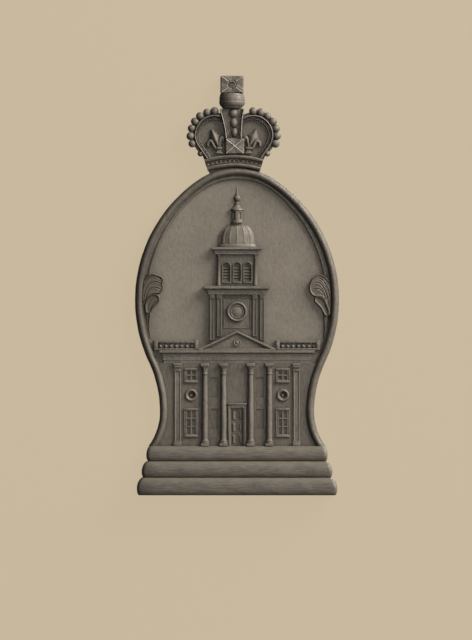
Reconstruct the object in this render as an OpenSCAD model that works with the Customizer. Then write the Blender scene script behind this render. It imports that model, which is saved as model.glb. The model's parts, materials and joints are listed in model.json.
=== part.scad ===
// Crowned wall mark: a waisted oval plate with a rounded rim, a stepped foot, a crown on top
// and a domed hall in relief on its field. Cast pieces are riveted to one flat back plate.
// Pieces are drawn flat: x across, y up from the foot, z out from the wall.

/* [Outline] */
// Width of the oval at its widest
oval_w = 142.6; // [140:0.2:148]
// Radius of the long side curves
side_r = 102; // [98:0.5:106]
// Radius of the curve over the top
crest_r = 47.7; // [44:0.1:52]
// Width of the narrow waist
waist_w = 107.8; // [106:0.2:112]
// Height of the waist above the foot
waist_h = 58; // [54:0.5:62]
// Radius of the curve from the waist out to the steps
foot_r = 40; // [36:0.5:46]

/* [Back plate] */
// Thickness of the back plate
plate_t = 3; // [2.5:0.1:5]
// How far the plate stays inside the outer edge of the pieces it carries
plate_inset = 0.5; // [0.3:0.1:1]
// Gap left between neighbouring castings
fit_gap = 0.1; // [0.05:0.01:0.2]

/* [Rivets] */
// Diameter of the rivet studs cast on the pieces
stud_d = 2.4; // [1.8:0.1:3]
// Diameter of a rivet's spread end, flush with the back
stud_head_d = 4; // [3.4:0.1:4.6]
// Depth of a rivet's spread end
stud_head_t = 0.8; // [0.5:0.1:1.2]
// Diameter of the locating pins under small pieces
pin_d = 1.6; // [1:0.1:2]
// Length of the locating pins
pin_len = 1.5; // [1:0.1:1.9]

/* [Nail holes] */
// Diameter of the three nail holes
nail_d = 4; // [3:0.1:5]
// Distance between the two lower nail holes
nail_spacing = 64; // [62:0.5:65]

/* [Rim] */
// Width of the rounded rim
rim_w = 5.5; // [4.5:0.1:6.5]
// Height of the rim above the plate
rim_out = 5.2; // [4:0.1:7]
// Height of the rim's straight edge above the plate
rim_edge = 1.4; // [0.8:0.1:2.4]
// Width of the thin bead inside the rim
bead_w = 1.7; // [1.2:0.1:2.4]
// Height of the thin bead above the plate
bead_out = 2.4; // [1.8:0.1:3.4]
// Height of the flat web that ties the bead to the rim
web_out = 0.9; // [0.6:0.1:1.5]
// Distance from the oval's edge to the middle of the bead at the widest point
bead_side = 8.2; // [7.8:0.1:9.4]
// Distance from the oval's edge to the middle of the bead at the top
bead_top = 7; // [6.6:0.1:8]
// Radius of the bead's curve over the top
bead_r = 43; // [40:0.5:45]
// Height above the widest point where the bead ends, over the leaf
bead_end = 17; // [16:0.5:22]

/* [Leaves] */
// Reach of the leaf's lobes from its stem
leaf_w = 12.4; // [10.6:0.1:13]
// Height of the leaf above its root
leaf_h = 24; // [21:0.5:24.5]
// Height of the leaf's lobes above the plate
leaf_out = 4.6; // [3.5:0.1:6]
// Depth of the stem's root below the widest point
leaf_root = 6; // [4:0.5:9]
// Space between the leaf's tail and the top of the balustrade
leaf_gap = 1; // [0.5:0.5:4]

/* [Steps] */
// Width of the lower step
lower_step_w = 139.6; // [136:0.2:150]
// Height of the lower step
lower_step_h = 12.2; // [11:0.1:13]
// Depth of the lower step from the wall
lower_step_out = 18; // [15:0.5:24]
// Width of the middle step
middle_step_w = 133; // [130:0.2:140]
// Height of the middle step
middle_step_h = 11.3; // [10:0.1:12]
// Depth of the middle step from the wall
middle_step_out = 15; // [13:0.5:20]
// Width of the upper step
upper_step_w = 126.5; // [124:0.2:132]
// Height of the upper step
upper_step_h = 10.5; // [9.5:0.1:11]
// Depth of the upper step from the wall
upper_step_out = 12; // [11:0.5:16]
// How far the steps' top edges are rounded back
step_round = 4.5; // [3:0.1:5]
// How far the upper step's ends are drawn in at the top, to meet the rim
upper_step_draw = 2.4; // [1.6:0.1:3]
// How far the steps' lower edges are rounded under
step_under = 1.6; // [1:0.1:2.6]

/* [Crown] */
// Place of the crown's middle, left of the oval's
crown_x = -2.2; // [-4:0.1:4]
// Radius of the band's lower edge
band_r = 61.6; // [58:0.1:66]
// Height of the band
band_h = 8.7; // [8:0.1:9.5]
// Half of the angle that the band spans
band_angle = 17.2; // [16.6:0.1:18]
// Height of the band's mouldings above the plate
band_out = 5.6; // [4.5:0.1:7]
// Number of small beads in the band's groove
band_beads = 13; // [9:1:15]
// Thickness of the cap plate behind the arches
cap_t = 1.6; // [1.2:0.1:2.4]
// Distance of each side arch's centre from the crown's middle
arch_x = 13.5; // [13:0.1:14.5]
// Height of the side arches' centres above the top of the oval
arch_y = 22.8; // [22.4:0.1:23.5]
// Outer radius of the side arches
arch_r = 14.3; // [13.8:0.1:15]
// Width of the side arches
arch_w = 3.6; // [3:0.1:4.2]
// Height of the side arches above the cap plate
arch_out = 3.4; // [2.6:0.1:5]
// Diameter of the pearls
pearl_d = 5.6; // [5:0.1:5.8]
// Number of pearls on each side arch
pearls = 7; // [5:1:7]
// Width of the front arch at its foot
strap_foot_w = 11.4; // [9:0.1:12]
// Width of the front arch under the orb
strap_top_w = 17.4; // [15:0.1:18]
// Height of the front arch above the cap plate
strap_out = 4.6; // [3.6:0.1:6]
// Diameter of the jewels on the front arch
jewel_d = 5.4; // [4:0.1:5.8]
// Place of the small cross on the front from the crown's middle
front_x = 0.6; // [-1:0.1:0.8]
// Width of the small cross on the front
front_cross_w = 13.3; // [12:0.1:14]
// Height of the small cross on the front
front_cross_h = 11; // [9.5:0.1:12]
// Height of the fleurs-de-lis
fleur_h = 18.2; // [16:0.1:18.6]
// Lean of the fleurs-de-lis outwards
fleur_lean = 18; // [15:1:20]
// Height of the fleurs-de-lis above the cap plate
fleur_out = 2.8; // [2:0.1:4]
// Height of the orb's foot above the top of the oval
orb_y = 41.2; // [40.8:0.1:42]
// Width of the orb
orb_w = 17.8; // [17:0.1:20]
// Height of the orb
orb_h = 10.8; // [10:0.1:12]
// Place of the orb and the cross from the crown's middle
orb_x = -1.3; // [-2:0.1:2]
// Width of the cross block on the orb
cross_w = 16.2; // [15:0.1:18]
// Height of the cross block on the orb
cross_h = 12.2; // [11.6:0.1:14]
// Height of the cross block above the plate
cross_out = 6.4; // [5:0.1:8]

/* [Hall] */
// Height of the hall's wall
hall_h = 58; // [56:0.5:60]
// Height of the hall's wall above the plate
wall_out = 2.5; // [2:0.1:3.5]
// Height of the cornice over the hall
hall_cornice_h = 9; // [7:0.5:9.5]
// Depth of that cornice beyond the wall's face
hall_cornice_out = 3.4; // [2.6:0.1:4.5]
// Space between the cornice's ends and the rim
hall_cornice_gap = 1.2; // [0.6:0.1:3]
// Diameter of the columns
column_d = 4.8; // [4:0.1:5.2]
// Distance of the inner columns from the middle
inner_column_x = 9.5; // [9.3:0.1:10.5]
// Distance of the outer columns from the middle
outer_column_x = 22.5; // [22:0.1:23.5]
// Width of the door opening
door_w = 9.4; // [8:0.1:9.6]
// Height of the door opening
door_h = 27; // [22:0.5:32]
// Width of the frame round the door
door_frame_w = 1.6; // [1:0.1:1.8]
// Width of the wing windows
window_w = 8; // [6:0.1:9]
// Height of the lower windows
lower_window_h = 18; // [14:0.5:19]
// Height of the upper windows
upper_window_h = 8; // [6:0.5:9]
// Height of the lower window's sill above the steps
lower_sill_y = 7.5; // [6:0.5:9]
// Distance from the upper window's head to the top of the wall
upper_window_drop = 4.5; // [3:0.5:6]
// Diameter of the round rings
ring_d = 9; // [8.4:0.1:9.6]
// Space between the corner pilasters and the rim at the waist
pilaster_gap = 4.7; // [3.5:0.1:5.5]
// Width of the corner pilasters
pilaster_w = 4.4; // [3.6:0.1:5]
// Width of the pediment
pediment_w = 54; // [50:0.5:56]
// Height of the pediment
pediment_h = 13.5; // [11:0.5:16]
// Depth of the pediment beyond the tower's face
pediment_out = 3; // [2.2:0.1:4]
// Height of the balustrades
balustrade_h = 6.4; // [5.6:0.1:8]
// Height of the balustrades above the plate
balustrade_out = 3.2; // [2.6:0.1:4.5]
// Number of balusters in each balustrade
balusters = 7; // [5:1:8]

/* [Tower] */
// Width of the tower's lower stage
stage_w = 38; // [34:0.5:40]
// Height of the tower's lower stage
stage_h = 39; // [36:0.5:39.5]
// Height of the lower stage above the plate
stage_out = 2.6; // [2:0.1:3.5]
// Diameter of the blank round medallion
medallion_d = 14.5; // [12:0.5:16]
// Depth of the tower's cornice beyond the stage's face
stage_cornice_out = 3.8; // [3:0.1:4.6]
// Height of the tower's cornice
stage_cornice_h = 6; // [5:0.5:6.5]
// Width of the belfry
belfry_w = 29; // [27:0.5:32]
// Height of the belfry
belfry_h = 22; // [20:0.5:22.5]
// Height of the belfry above the plate
belfry_out = 2.6; // [2.2:0.1:3.5]
// Depth of the belfry's cornice beyond its face
belfry_cornice_out = 3; // [2.2:0.1:3.8]
// Height of the belfry's cornice
belfry_cornice_h = 5; // [4:0.5:5.5]
// Width of the dome
dome_w = 27; // [24:0.5:28]
// Height of the dome
dome_h = 17; // [14:0.5:17.5]
// Height of the dome above the plate
dome_out = 5.4; // [4:0.1:7]
// Width of the lantern
lantern_w = 7.6; // [6.6:0.1:9]
// Height of the lantern with its cap
lantern_h = 14; // [12:0.5:14.5]
// Height of the finial
finial_h = 12.1; // [9:0.1:14]
// Space between the finial's tip and the bead
finial_gap = 4.5; // [3:0.5:6]

/* [Hidden] */

// Colours of the old lead
lead = [0.40, 0.37, 0.33];
lead_dark = [0.30, 0.28, 0.25];
lead_pale = [0.50, 0.47, 0.42];

bed = plate_t;
far = 400;
half_w = oval_w / 2;

// Heights of the stacked pieces above the foot
middle_step_y = lower_step_h;
upper_step_y = middle_step_y + middle_step_h;
hall_y = upper_step_y + upper_step_h;
hall_cornice_y = hall_y + hall_h;
tower_y = hall_cornice_y + hall_cornice_h;
stage_cornice_y = tower_y + stage_h;
belfry_y = stage_cornice_y + stage_cornice_h;
belfry_cornice_y = belfry_y + belfry_h;
dome_y = belfry_cornice_y + belfry_cornice_h;
lantern_y = dome_y + dome_h;
finial_y = lantern_y + lantern_h;

// The oval's top clears the finial, and its widest point follows from the arcs over it.
// Each arc's centre follows from the rule that it runs smoothly into the next.
crest_y = finial_y + finial_h + finial_gap + bead_w / 2 + bead_top;
crest_cy = crest_y - crest_r;
side_cx = half_w - side_r;
widest_h = crest_cy - sqrt(pow(side_r - crest_r, 2) - pow(side_cx, 2));
crest_a = atan2(crest_cy - widest_h, -side_cx);
waist_half = waist_w / 2;
waist_drop = widest_h - waist_h;
waist_off = waist_half - side_cx;
waist_r = (pow(waist_off, 2) + pow(waist_drop, 2) - pow(side_r, 2)) / (2 * (side_r - waist_off));
waist_cx = waist_half + waist_r;
waist_a = atan2(waist_drop, waist_cx - side_cx);
foot_cx = waist_half + foot_r;

// The bead's arcs inside the rim
bead_half = half_w - bead_side;
bead_crest_y = crest_y - bead_top;
bead_cy = bead_crest_y - bead_r;
bead_rise = bead_cy - widest_h;
bead_side_r = (pow(bead_half, 2) + pow(bead_rise, 2) - pow(bead_r, 2)) / (2 * (bead_half - bead_r));
bead_cx = bead_half - bead_side_r;
bead_a = atan2(bead_rise, -bead_cx);
bead_end_a = asin(bead_end / bead_side_r);

// Levels of the crown's layers
cap_z = bed + cap_t;
crown_y = crest_y;
band_cy = fit_gap * 3 - band_r;
band_top_r = band_r + band_h;
cross_y = orb_y + orb_h;

// Points on an arc, from angle a0 to a1
function arc(cx, cy, r, a0, a1, n) =
    [for (i = [0:n]) [cx + r * cos(a0 + (a1 - a0) * i / n), cy + r * sin(a0 + (a1 - a0) * i / n)]];

// Points on a curve from p to q that is drawn towards c
function bend(p, c, q, n) =
    [for (i = [0:n]) let (t = i / n) (1 - t) * (1 - t) * p + 2 * t * (1 - t) * c + t * t * q];

function flip(pts) = [for (p = pts) [-p[0], p[1]]];
function back_to_front(pts) = [for (i = [len(pts) - 1:-1:0]) pts[i]];
function both_sides(pts) = concat(pts, back_to_front(flip(pts)));

// Half of the mark's width at height y, less an inset
function edge_x(y, inset) =
    let (
        join_y = widest_h - (side_r - inset) * sin(waist_a),
        dy = y - waist_h
    )
    y < waist_h ? foot_cx - sqrt(pow(foot_r + inset, 2) - dy * dy)
    : y < join_y ? waist_cx - sqrt(pow(waist_r + inset, 2) - dy * dy)
    : side_cx + sqrt(pow(side_r - inset, 2) - pow(y - widest_h, 2));

function tail(pts) = [for (i = [1:len(pts) - 1]) pts[i]];

// The outline over the top, from the widest point on the right to that on the left, less an inset
function arch_path(inset) =
    let (side = arc(side_cx, widest_h, side_r - inset, 0, crest_a, 16))
    concat(
        side,
        tail(arc(0, crest_cy, crest_r - inset, crest_a, 180 - crest_a, 14)),
        tail(back_to_front(flip(side)))
    );

// The outline from the widest point on the right down to the steps, less an inset
function side_path(inset) =
    concat(
        arc(side_cx, widest_h, side_r - inset, 0, -waist_a, 8),
        tail(arc(waist_cx, waist_h, waist_r + inset, 180 - waist_a, 180, 7)),
        tail(arc(foot_cx, waist_h, foot_r + inset, 180, 180 + asin((waist_h - hall_y) / (foot_r + inset)), 6))
    );

// The bead inside the arch, from its right end to its left one, less an inset
function bead_path(inset) =
    let (side = arc(bead_cx, widest_h, bead_side_r - inset, bead_end_a, bead_a, 13))
    concat(
        side,
        tail(arc(0, bead_cy, bead_r - inset, bead_a, 180 - bead_a, 14)),
        tail(back_to_front(flip(side)))
    );

// Rivet places of the pieces on the plate
arch_studs = concat(
    [for (a = [crest_a - 14, 28]) [side_cx + (side_r - rim_w / 2) * cos(a),
                                   widest_h + (side_r - rim_w / 2) * sin(a)]],
    [for (a = [crest_a - 14, 28]) [-side_cx - (side_r - rim_w / 2) * cos(a),
                                   widest_h + (side_r - rim_w / 2) * sin(a)]],
    [[0, crest_y - rim_w / 2]]
);
side_studs = [for (y = [widest_h - 20, waist_h + 8]) [edge_x(y, rim_w / 2), y]];
leaf_stem = [edge_x(widest_h - leaf_root, rim_w) - 4.6, widest_h - leaf_root];
function leaf_at(u, v) = leaf_stem + [u * leaf_w, v * leaf_h];
leaf_studs = [leaf_at(-0.25, 0.46)];
band_studs = [for (x = [-12, 12]) [x, band_cy + sqrt(pow(band_r + band_h / 2, 2) - x * x)]];
arch_ring_studs = [for (a = [-18, 62]) [arch_x + (arch_r - arch_w / 2) * cos(a),
                                        arch_y + (arch_r - arch_w / 2) * sin(a)]];
cap_studs = [for (s = [-1, 1]) [s * (arch_x + 4), arch_y + 4]];
strap_mid_y = (front_cross_top() + orb_y) / 2;
strap_studs = [[strap_mid(0.5), strap_mid_y]];
front_cross_studs = [[front_x, front_cross_y() + front_cross_h / 2]];
orb_studs = [[orb_x, orb_y + orb_h / 2]];
cross_studs = [for (s = [-1, 1]) [orb_x + s * cross_w / 4, cross_y + cross_h * 0.2]];
fleur_studs = [fleur_foot() + [3.2 * sin(fleur_lean), 3.2 * cos(fleur_lean)]];
wall_studs = concat(
    [for (x = [-16, 16]) [x, hall_y + 6]],
    [for (x = [-16, 16]) [x, hall_y + hall_h - 6]]
);
hall_cornice_half = edge_x(hall_cornice_y, rim_w) - hall_cornice_gap - hall_cornice_out;
hall_cornice_studs = [for (s = [-1:1])
    [s * (hall_cornice_half - stud_head_d * 2), hall_cornice_y + hall_cornice_h / 2]];
door_studs = [[0, hall_y + door_h / 2]];
window_x = nail_spacing / 2;
lower_window_y = hall_y + lower_sill_y;
upper_window_y = hall_cornice_y - upper_window_drop - upper_window_h;
ring_y = (lower_window_y + lower_window_h + upper_window_y) / 2;
lower_window_studs = [[window_x, lower_window_y + lower_window_h / 2]];
upper_window_studs = [[window_x, upper_window_y + upper_window_h / 2]];
pediment_studs = [[stage_w / 2 + 2.6, tower_y + 2]];
pier_rise = 0.6;
balustrade_x0 = pediment_w / 2 + fit_gap;
balustrade_x1 = edge_x(tower_y, rim_w) - hall_cornice_gap;
balustrade_studs = [for (x = [balustrade_x0 + 2, balustrade_x1 - 2]) [x, tower_y + balustrade_h / 2]];
stage_studs = [for (y = [tower_y + 5, stage_cornice_y - 5]) [0, y]];
stage_cornice_studs = [for (x = [-13, 13]) [x, stage_cornice_y + stage_cornice_h / 2]];
belfry_studs = [for (x = [-belfry_w / 2 + 1.9, belfry_w / 2 - 1.9]) [x, belfry_y + belfry_h / 2]];
belfry_cornice_studs = [for (x = [-8, 8]) [x, belfry_cornice_y + belfry_cornice_h / 2]];
dome_studs = [[0, dome_y + dome_h / 2]];
lantern_studs = [[0, lantern_y + lantern_h / 2 - 1]];
finial_ball_y = finial_h * 0.26;
finial_studs = [[0, finial_y + finial_ball_y]];

function crown_place(pts) = [for (p = pts) [p[0] + crown_x, p[1] + crown_y]];
function front_cross_y() = band_cy + band_top_r + fit_gap + 0.4;
function front_cross_top() = front_cross_y() + front_cross_h;
function fleur_foot() = [arch_x - 2.7, front_cross_y() + 0.3];

plate_studs = concat(
    arch_studs, side_studs, flip(side_studs), leaf_studs, flip(leaf_studs),
    crown_place(concat(
        band_studs, arch_ring_studs, flip(arch_ring_studs), cap_studs, strap_studs,
        front_cross_studs, orb_studs, cross_studs, fleur_studs, flip(fleur_studs)
    )),
    wall_studs, hall_cornice_studs, door_studs, lower_window_studs, flip(lower_window_studs),
    upper_window_studs, flip(upper_window_studs), pediment_studs, flip(pediment_studs),
    balustrade_studs, flip(balustrade_studs), stage_studs, stage_cornice_studs, belfry_studs,
    belfry_cornice_studs, dome_studs, lantern_studs, finial_studs,
    step_studs(lower_step_w, lower_step_h, 0), step_studs(middle_step_w, middle_step_h, middle_step_y),
    step_studs(upper_step_w, upper_step_h, upper_step_y)
);
function step_studs(w, h, y) = [for (s = [-1, 1]) [s * w / 3, y + h / 2]];

// Stands a flat drawing up: y becomes the height from the widest point, z comes out of the wall
module stand() {
    translate([0, 0, -widest_h]) rotate([90, 0, 0]) children();
}

module crown() {
    translate([crown_x, crown_y, 0]) children();
}

// A slab between two distances from the wall
module slab(z0, z1) {
    translate([0, 0, z0]) linear_extrude(z1 - z0) children();
}

// A profile of distance from the wall and height, run along x
module along(length) {
    rotate([0, -90, 0]) linear_extrude(length, center = true) children();
}

// Half of a turned form, facing out from the level z
module half_turned(x, y, z) {
    translate([x, y, z]) rotate([-90, 0, 0]) rotate_extrude(angle = 180, start = 180) children();
}

module box(x0, x1, y0, y1, z0, z1) {
    translate([x0, y0, z0]) cube([x1 - x0, y1 - y0, z1 - z0]);
}

// Rivet studs from the level z down to the back face
module studs(places, z) {
    for (p = places) translate([p[0], p[1], 0]) {
        cylinder(h = z + 0.3, d = stud_d, $fn = 32);
        cylinder(h = stud_head_t, d1 = stud_head_d, d2 = stud_d, $fn = 32);
    }
}

module stud_holes(places) {
    for (p = places) translate([p[0], p[1], 0]) {
        translate([0, 0, -1]) cylinder(h = far / 8, d = stud_d + 2 * fit_gap, $fn = 32);
        translate([0, 0, -fit_gap]) cylinder(
            h = stud_head_t + 2 * fit_gap, d1 = stud_head_d + 2 * fit_gap,
            d2 = stud_d + 2 * fit_gap, $fn = 32
        );
    }
}

module pins(places, z) {
    for (p = places) translate([p[0], p[1], z - pin_len]) cylinder(h = pin_len + 0.3, d = pin_d, $fn = 24);
}

module pin_holes(places, z) {
    for (p = places) translate([p[0], p[1], z - pin_len - fit_gap])
        cylinder(h = pin_len + 1, d = pin_d + 2 * fit_gap, $fn = 24);
}

// A ridge along a path: half widths and heights go with the path, s runs across from -1 to 1
module ridge(path, half_widths, heights, z0, power) {
    n = len(path) - 1;
    m = 6;
    tangents = [for (i = [0:n]) path[min(n, i + 1)] - path[max(0, i - 1)]];
    top = [for (i = [0:n]) for (j = [0:m])
        let (
            s = 2 * j / m - 1,
            side = [-tangents[i][1], tangents[i][0]] / norm(tangents[i]),
            q = path[i] + side * half_widths[i] * s
        )
        [q[0], q[1], z0 + 0.5 + (heights[i] - 0.5) * (1 - pow(abs(s), power))]];
    base = [for (p = top) [p[0], p[1], z0]];
    w = m + 1;
    b = len(top);
    tops = [for (i = [0:n - 1]) for (j = [0:m - 1])
        let (a = i * w + j, c = (i + 1) * w + j) each [[a, c + 1, a + 1], [a, c, c + 1]]];
    bases = [for (f = tops) [f[0] + b, f[2] + b, f[1] + b]];
    rim_loop = concat(
        [for (j = [0:m]) j],
        [for (i = [1:n]) i * w + m],
        [for (j = [1:m]) n * w + m - j],
        [for (i = [1:n - 1]) (n - i) * w]
    );
    k = len(rim_loop);
    walls = [for (i = [0:k - 1])
        let (p = rim_loop[i], q = rim_loop[(i + 1) % k])
        each [[p, q, q + b], [p, q + b, p + b]]];
    faces = [for (f = concat(tops, bases, walls)) back_to_front(f)];
    polyhedron(points = concat(top, base), faces = faces, convexity = 4);
}

// A blade that swells and ends in a rounded tip
module blade(path, width, out, z0, power) {
    n = len(path) - 1;
    swell = [for (i = [0:n]) let (t = i / n) max(0.18, pow(sin(180 * (0.12 + 0.86 * t)), 0.7))];
    ridge(path, [for (s = swell) s * width / 2], [for (s = swell) 0.7 + (out - 0.7) * s], z0, power);
}

// A rounded moulding's section: inset from the outer edge, and height
function round_section(u0, w, z_edge, z_top, n) =
    concat(
        [[u0, bed]],
        [for (i = [0:n]) let (a = 180 - 180 * i / n)
            [u0 + w / 2 + w / 2 * cos(a), z_edge + (z_top - z_edge) * sin(a)]],
        [[u0 + w, bed]]
    );

rim_section = round_section(0, rim_w, bed + rim_edge, bed + rim_out, 10);
bead_section = round_section(-bead_w / 2, bead_w, bed + web_out, bed + bead_out, 6);

// Joins rows of points, each a closed loop, into a solid
module skin(rows) {
    k = len(rows[0]);
    n = len(rows);
    sides = [for (i = [0:n - 2]) for (j = [0:k - 1]) let (q = (j + 1) % k)
        each [[i * k + j, (i + 1) * k + j, (i + 1) * k + q], [i * k + j, (i + 1) * k + q, i * k + q]]];
    ends = [[for (j = [0:k - 1]) j], [for (j = [k - 1:-1:0]) (n - 1) * k + j]];
    faces = [for (f = concat(sides, ends)) back_to_front(f)];
    polyhedron(points = [for (r = rows) each r], faces = faces, convexity = 6);
}

// Joins one path for each point of a section into a solid bar
module loft(paths, levels) {
    skin([for (i = [0:len(paths[0]) - 1]) [for (j = [0:len(paths) - 1]) let (p = paths[j][i])
        [p[0], p[1], levels[j]]]]);
}

// A cornice that returns at both ends: steps hold how far out each height stands
module cornice(body_half, body_out, y, steps) {
    reach = max([for (s = steps) s[0]]);
    translate([0, y, 0]) intersection() {
        slab(bed, bed + body_out + reach + 1)
            polygon(both_sides([for (s = steps) [body_half + s[0], s[1]]]));
        along(far) polygon(concat(
            [[bed, steps[0][1]]],
            [for (s = steps) [bed + body_out + s[0], s[1]]],
            [[bed, steps[len(steps) - 1][1]]]
        ));
    }
}

// Section of a cornice: a flat band, a swelling curve and a square top edge
function cornice_steps(out, h) =
    concat(
        [[0.25 * out, 0], [0.25 * out, 0.3 * h], [0.4 * out, 0.3 * h]],
        [for (i = [0:5]) let (a = 18 * i) [out * (0.4 + 0.45 * (1 - cos(a))), h * (0.38 + 0.32 * sin(a))]],
        [[out, 0.7 * h], [out, h]]
    );

// The crown's flat shape: two round lobes and the legs, less an inset
module crown_lobes(lobe_r, inset) {
    for (s = [-1, 1]) translate([s * arch_x, arch_y]) circle(r = lobe_r - inset, $fn = 96);
    leg_top = arch_y + (arch_r - inset) * sin(leg_a);
    polygon(both_sides([
        [band_top_r * sin(band_angle) - inset, band_cy + band_top_r * cos(band_angle) - 1],
        [arch_x + (arch_r - inset) * cos(leg_a), leg_top],
        [arch_x, arch_y]
    ]));
}

module band_sector(r0, r1, inset) {
    polygon(concat(
        arc(0, band_cy, r1, 90 - band_angle + inset, 90 + band_angle - inset, 16),
        arc(0, band_cy, r0, 90 + band_angle - inset, 90 - band_angle + inset, 16)
    ));
}

// The front arch's sides curve out upwards, about a middle line that leans from the small cross to the orb
function strap_mid(t) = front_x - 0.7 + (orb_x - front_x + 0.7) * t;
function strap_side(side, grow) = [for (i = [0:6]) let (t = i / 6)
    [strap_mid(t) + side * ((strap_foot_w + (strap_top_w - strap_foot_w) * pow(t, 1.5)) / 2 + grow),
     front_cross_top() + fit_gap + (orb_y - front_cross_top() - 2 * fit_gap) * t]];
function strap_outline(grow) = concat(strap_side(1, grow), back_to_front(strap_side(-1, grow)));

// The flat plate that everything is riveted to
module back_plate() {
    color(lead_dark) stand() difference() {
        slab(0, bed) union() {
            polygon(concat(
                arch_path(plate_inset), tail(flip(side_path(plate_inset))),
                back_to_front(tail(side_path(plate_inset)))
            ));
            for (s = [[lower_step_w, 0, lower_step_h], [middle_step_w, middle_step_y, middle_step_h],
                      [upper_step_w, upper_step_y, upper_step_h]])
                translate([-s[0] / 2 + s[2] / 2, s[1]]) square([s[0] - s[2], s[2] + plate_inset]);
            translate([crown_x, crown_y]) {
                band_sector(band_r - band_h, band_top_r - plate_inset, 0.6);
                crown_lobes(arch_r + pearl_d * 0.4, plate_inset);
                translate([orb_x - cross_w / 2 + 2, arch_y]) square([cross_w - 4, cross_y - arch_y + 2]);
                translate([orb_x - cross_w / 2 + plate_inset, cross_y + 1])
                    square([cross_w - 2 * plate_inset, cross_h - 1 - plate_inset]);
            }
        }
        stud_holes(plate_studs);
        for (s = [-1, 1]) translate([s * nail_spacing / 2, ring_y, -1])
            cylinder(h = bed + 2, d = nail_d, $fn = 48);
        translate([crown_x + orb_x, crown_y + cross_y + cross_h / 2, -1])
            cylinder(h = bed + 2, d = nail_d, $fn = 48);
    }
}

// The rim over the top, with its thin inner bead
module arch_moulding() {
    color(lead) stand() {
        loft([for (p = rim_section) arch_path(p[0])], [for (p = rim_section) p[1]]);
        slab(bed, bed + web_out) polygon(concat(
            flip(arc(side_cx, widest_h, side_r - rim_w + 0.6, web_a(), crest_a, 18)),
            arc(0, crest_cy, crest_r - rim_w + 0.6, 180 - crest_a - 4, crest_a + 4, 14),
            arc(side_cx, widest_h, side_r - rim_w + 0.6, crest_a, web_a(), 18),
            arc(bead_cx, widest_h, bead_side_r, bead_end_a, bead_a, 18),
            arc(0, bead_cy, bead_r, bead_a + 4, 180 - bead_a - 4, 14),
            flip(arc(bead_cx, widest_h, bead_side_r, bead_a, bead_end_a, 18))
        ));
        loft([for (p = bead_section) bead_path(p[0])], [for (p = bead_section) p[1]]);
        studs(arch_studs, bed);
    }
}

function web_a() = asin(bead_end / (side_r - rim_w + 0.6));

// The rim from the widest point down to the steps
module side_moulding() {
    loft(
        [for (p = back_to_front(rim_section)) side_path(p[0])],
        [for (p = back_to_front(rim_section)) p[1]]
    );
    studs(side_studs, bed);
}

module left_side_moulding() {
    color(lead_dark) stand() mirror([1, 0, 0]) side_moulding();
}

module right_side_moulding() {
    color(lead_pale) stand() side_moulding();
}

// A lobe's middle line: three curves through seven points, in hundredths of the leaf's reach and height
function lobe_line(p) =
    let (q = [for (a = p) leaf_at(a[0] / 100, a[1] / 100)])
    concat(bend(q[0], q[1], q[2], 5), tail(bend(q[2], q[3], q[4], 5)), tail(bend(q[4], q[5], q[6], 3)));

// The four lobes, from the top one, which rolls over along the rim, to the lowest one
leaf_lobes = [
    lobe_line([[14, -10], [50, 38], [22, 70], [8, 88], [-26, 90], [-58, 92], [-62, 72]]),
    lobe_line([[12, -10], [30, 30], [6, 56], [-8, 71], [-30, 71], [-54, 71], [-60, 54]]),
    lobe_line([[10, -10], [16, 16], [-8, 36], [-18, 44], [-32, 45], [-48, 46], [-52, 35]]),
    lobe_line([[8, -10], [2, 3], [-13, 11], [-23, 16], [-32, 17], [-40, 18], [-49, 15]])
];
lobe_w = leaf_h * 0.19;

// A lobe: a ridge that widens from the stem and ends in a rounded tip
module lobe(path, width, out) {
    n = len(path) - 1;
    swell = [for (i = [0:n]) let (t = i / n)
        (0.35 + 0.65 * min(1, t / 0.5)) * sqrt(1 - pow(max(0, (t - 0.76) / 0.25), 2))];
    ridge(path, [for (s = swell) s * width / 2], [for (s = swell) 1 + (out - 1) * s], bed, 2.2);
}

// A curled leaf on the rim: four lobes that fan out of one stem and roll over, and a long tail
module leaf() {
    intersection() {
        union() {
            // A low body under the lobes
            slab(bed, bed + leaf_out * 0.55) polygon(concat(
                leaf_lobes[0], [leaf_lobes[1][13], leaf_lobes[2][13]], back_to_front(leaf_lobes[3])
            ));
            for (i = [0:3])
                lobe(leaf_lobes[i], lobe_w * [1, 0.92, 0.84, 1][i], leaf_out - 0.25 * i);
        }
        slab(0, far / 8) polygon(concat(
            [for (i = [0:10]) let (y = leaf_stem[1] - 8 + (leaf_h + 12) * i / 10)
                [edge_x(y, rim_w + fit_gap), y]],
            [leaf_at(-2, 1.2), leaf_at(-2, -0.4)]
        ));
    }
    // The tail, drawn along the inside of the rim
    n = 12;
    tail_end = tower_y + balustrade_h + pier_rise + leaf_gap;
    tail_line = [for (i = [0:n]) let (t = i / n, y = leaf_stem[1] + 4 + (tail_end - leaf_stem[1] - 4) * t)
        [edge_x(y, rim_w + fit_gap) - 3.4 * pow(1 - t, 1.4) - 1, y]];
    ridge(
        tail_line, [for (i = [0:n]) 0.7 + 1.9 * min(1, i / 3) * (1 - i / n)],
        [for (i = [0:n]) 1.3 + (leaf_out - 2.2) * min(1, (i + 1) / 3) * (1 - i / n)], bed, 2.2
    );
    studs(leaf_studs, bed);
}

module left_leaf() {
    color(lead_dark) stand() mirror([1, 0, 0]) leaf();
}

module right_leaf() {
    color(lead_dark) stand() leaf();
}

// A step's plan at one height: the sides drawn in by one inset and the front by another
corner_r = 2.6;
function step_plan(w, out, side, front, y) =
    let (x = w / 2 - side - corner_r, z = out - front - corner_r)
    concat(
        [[x + corner_r, y, bed]],
        [for (a = [0:22.5:90]) [x + corner_r * cos(a), y, z + corner_r * sin(a)]],
        [for (a = [90:22.5:180]) [corner_r * cos(a) - x, y, z + corner_r * sin(a)]],
        [[-x - corner_r, y, bed]]
    );

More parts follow.
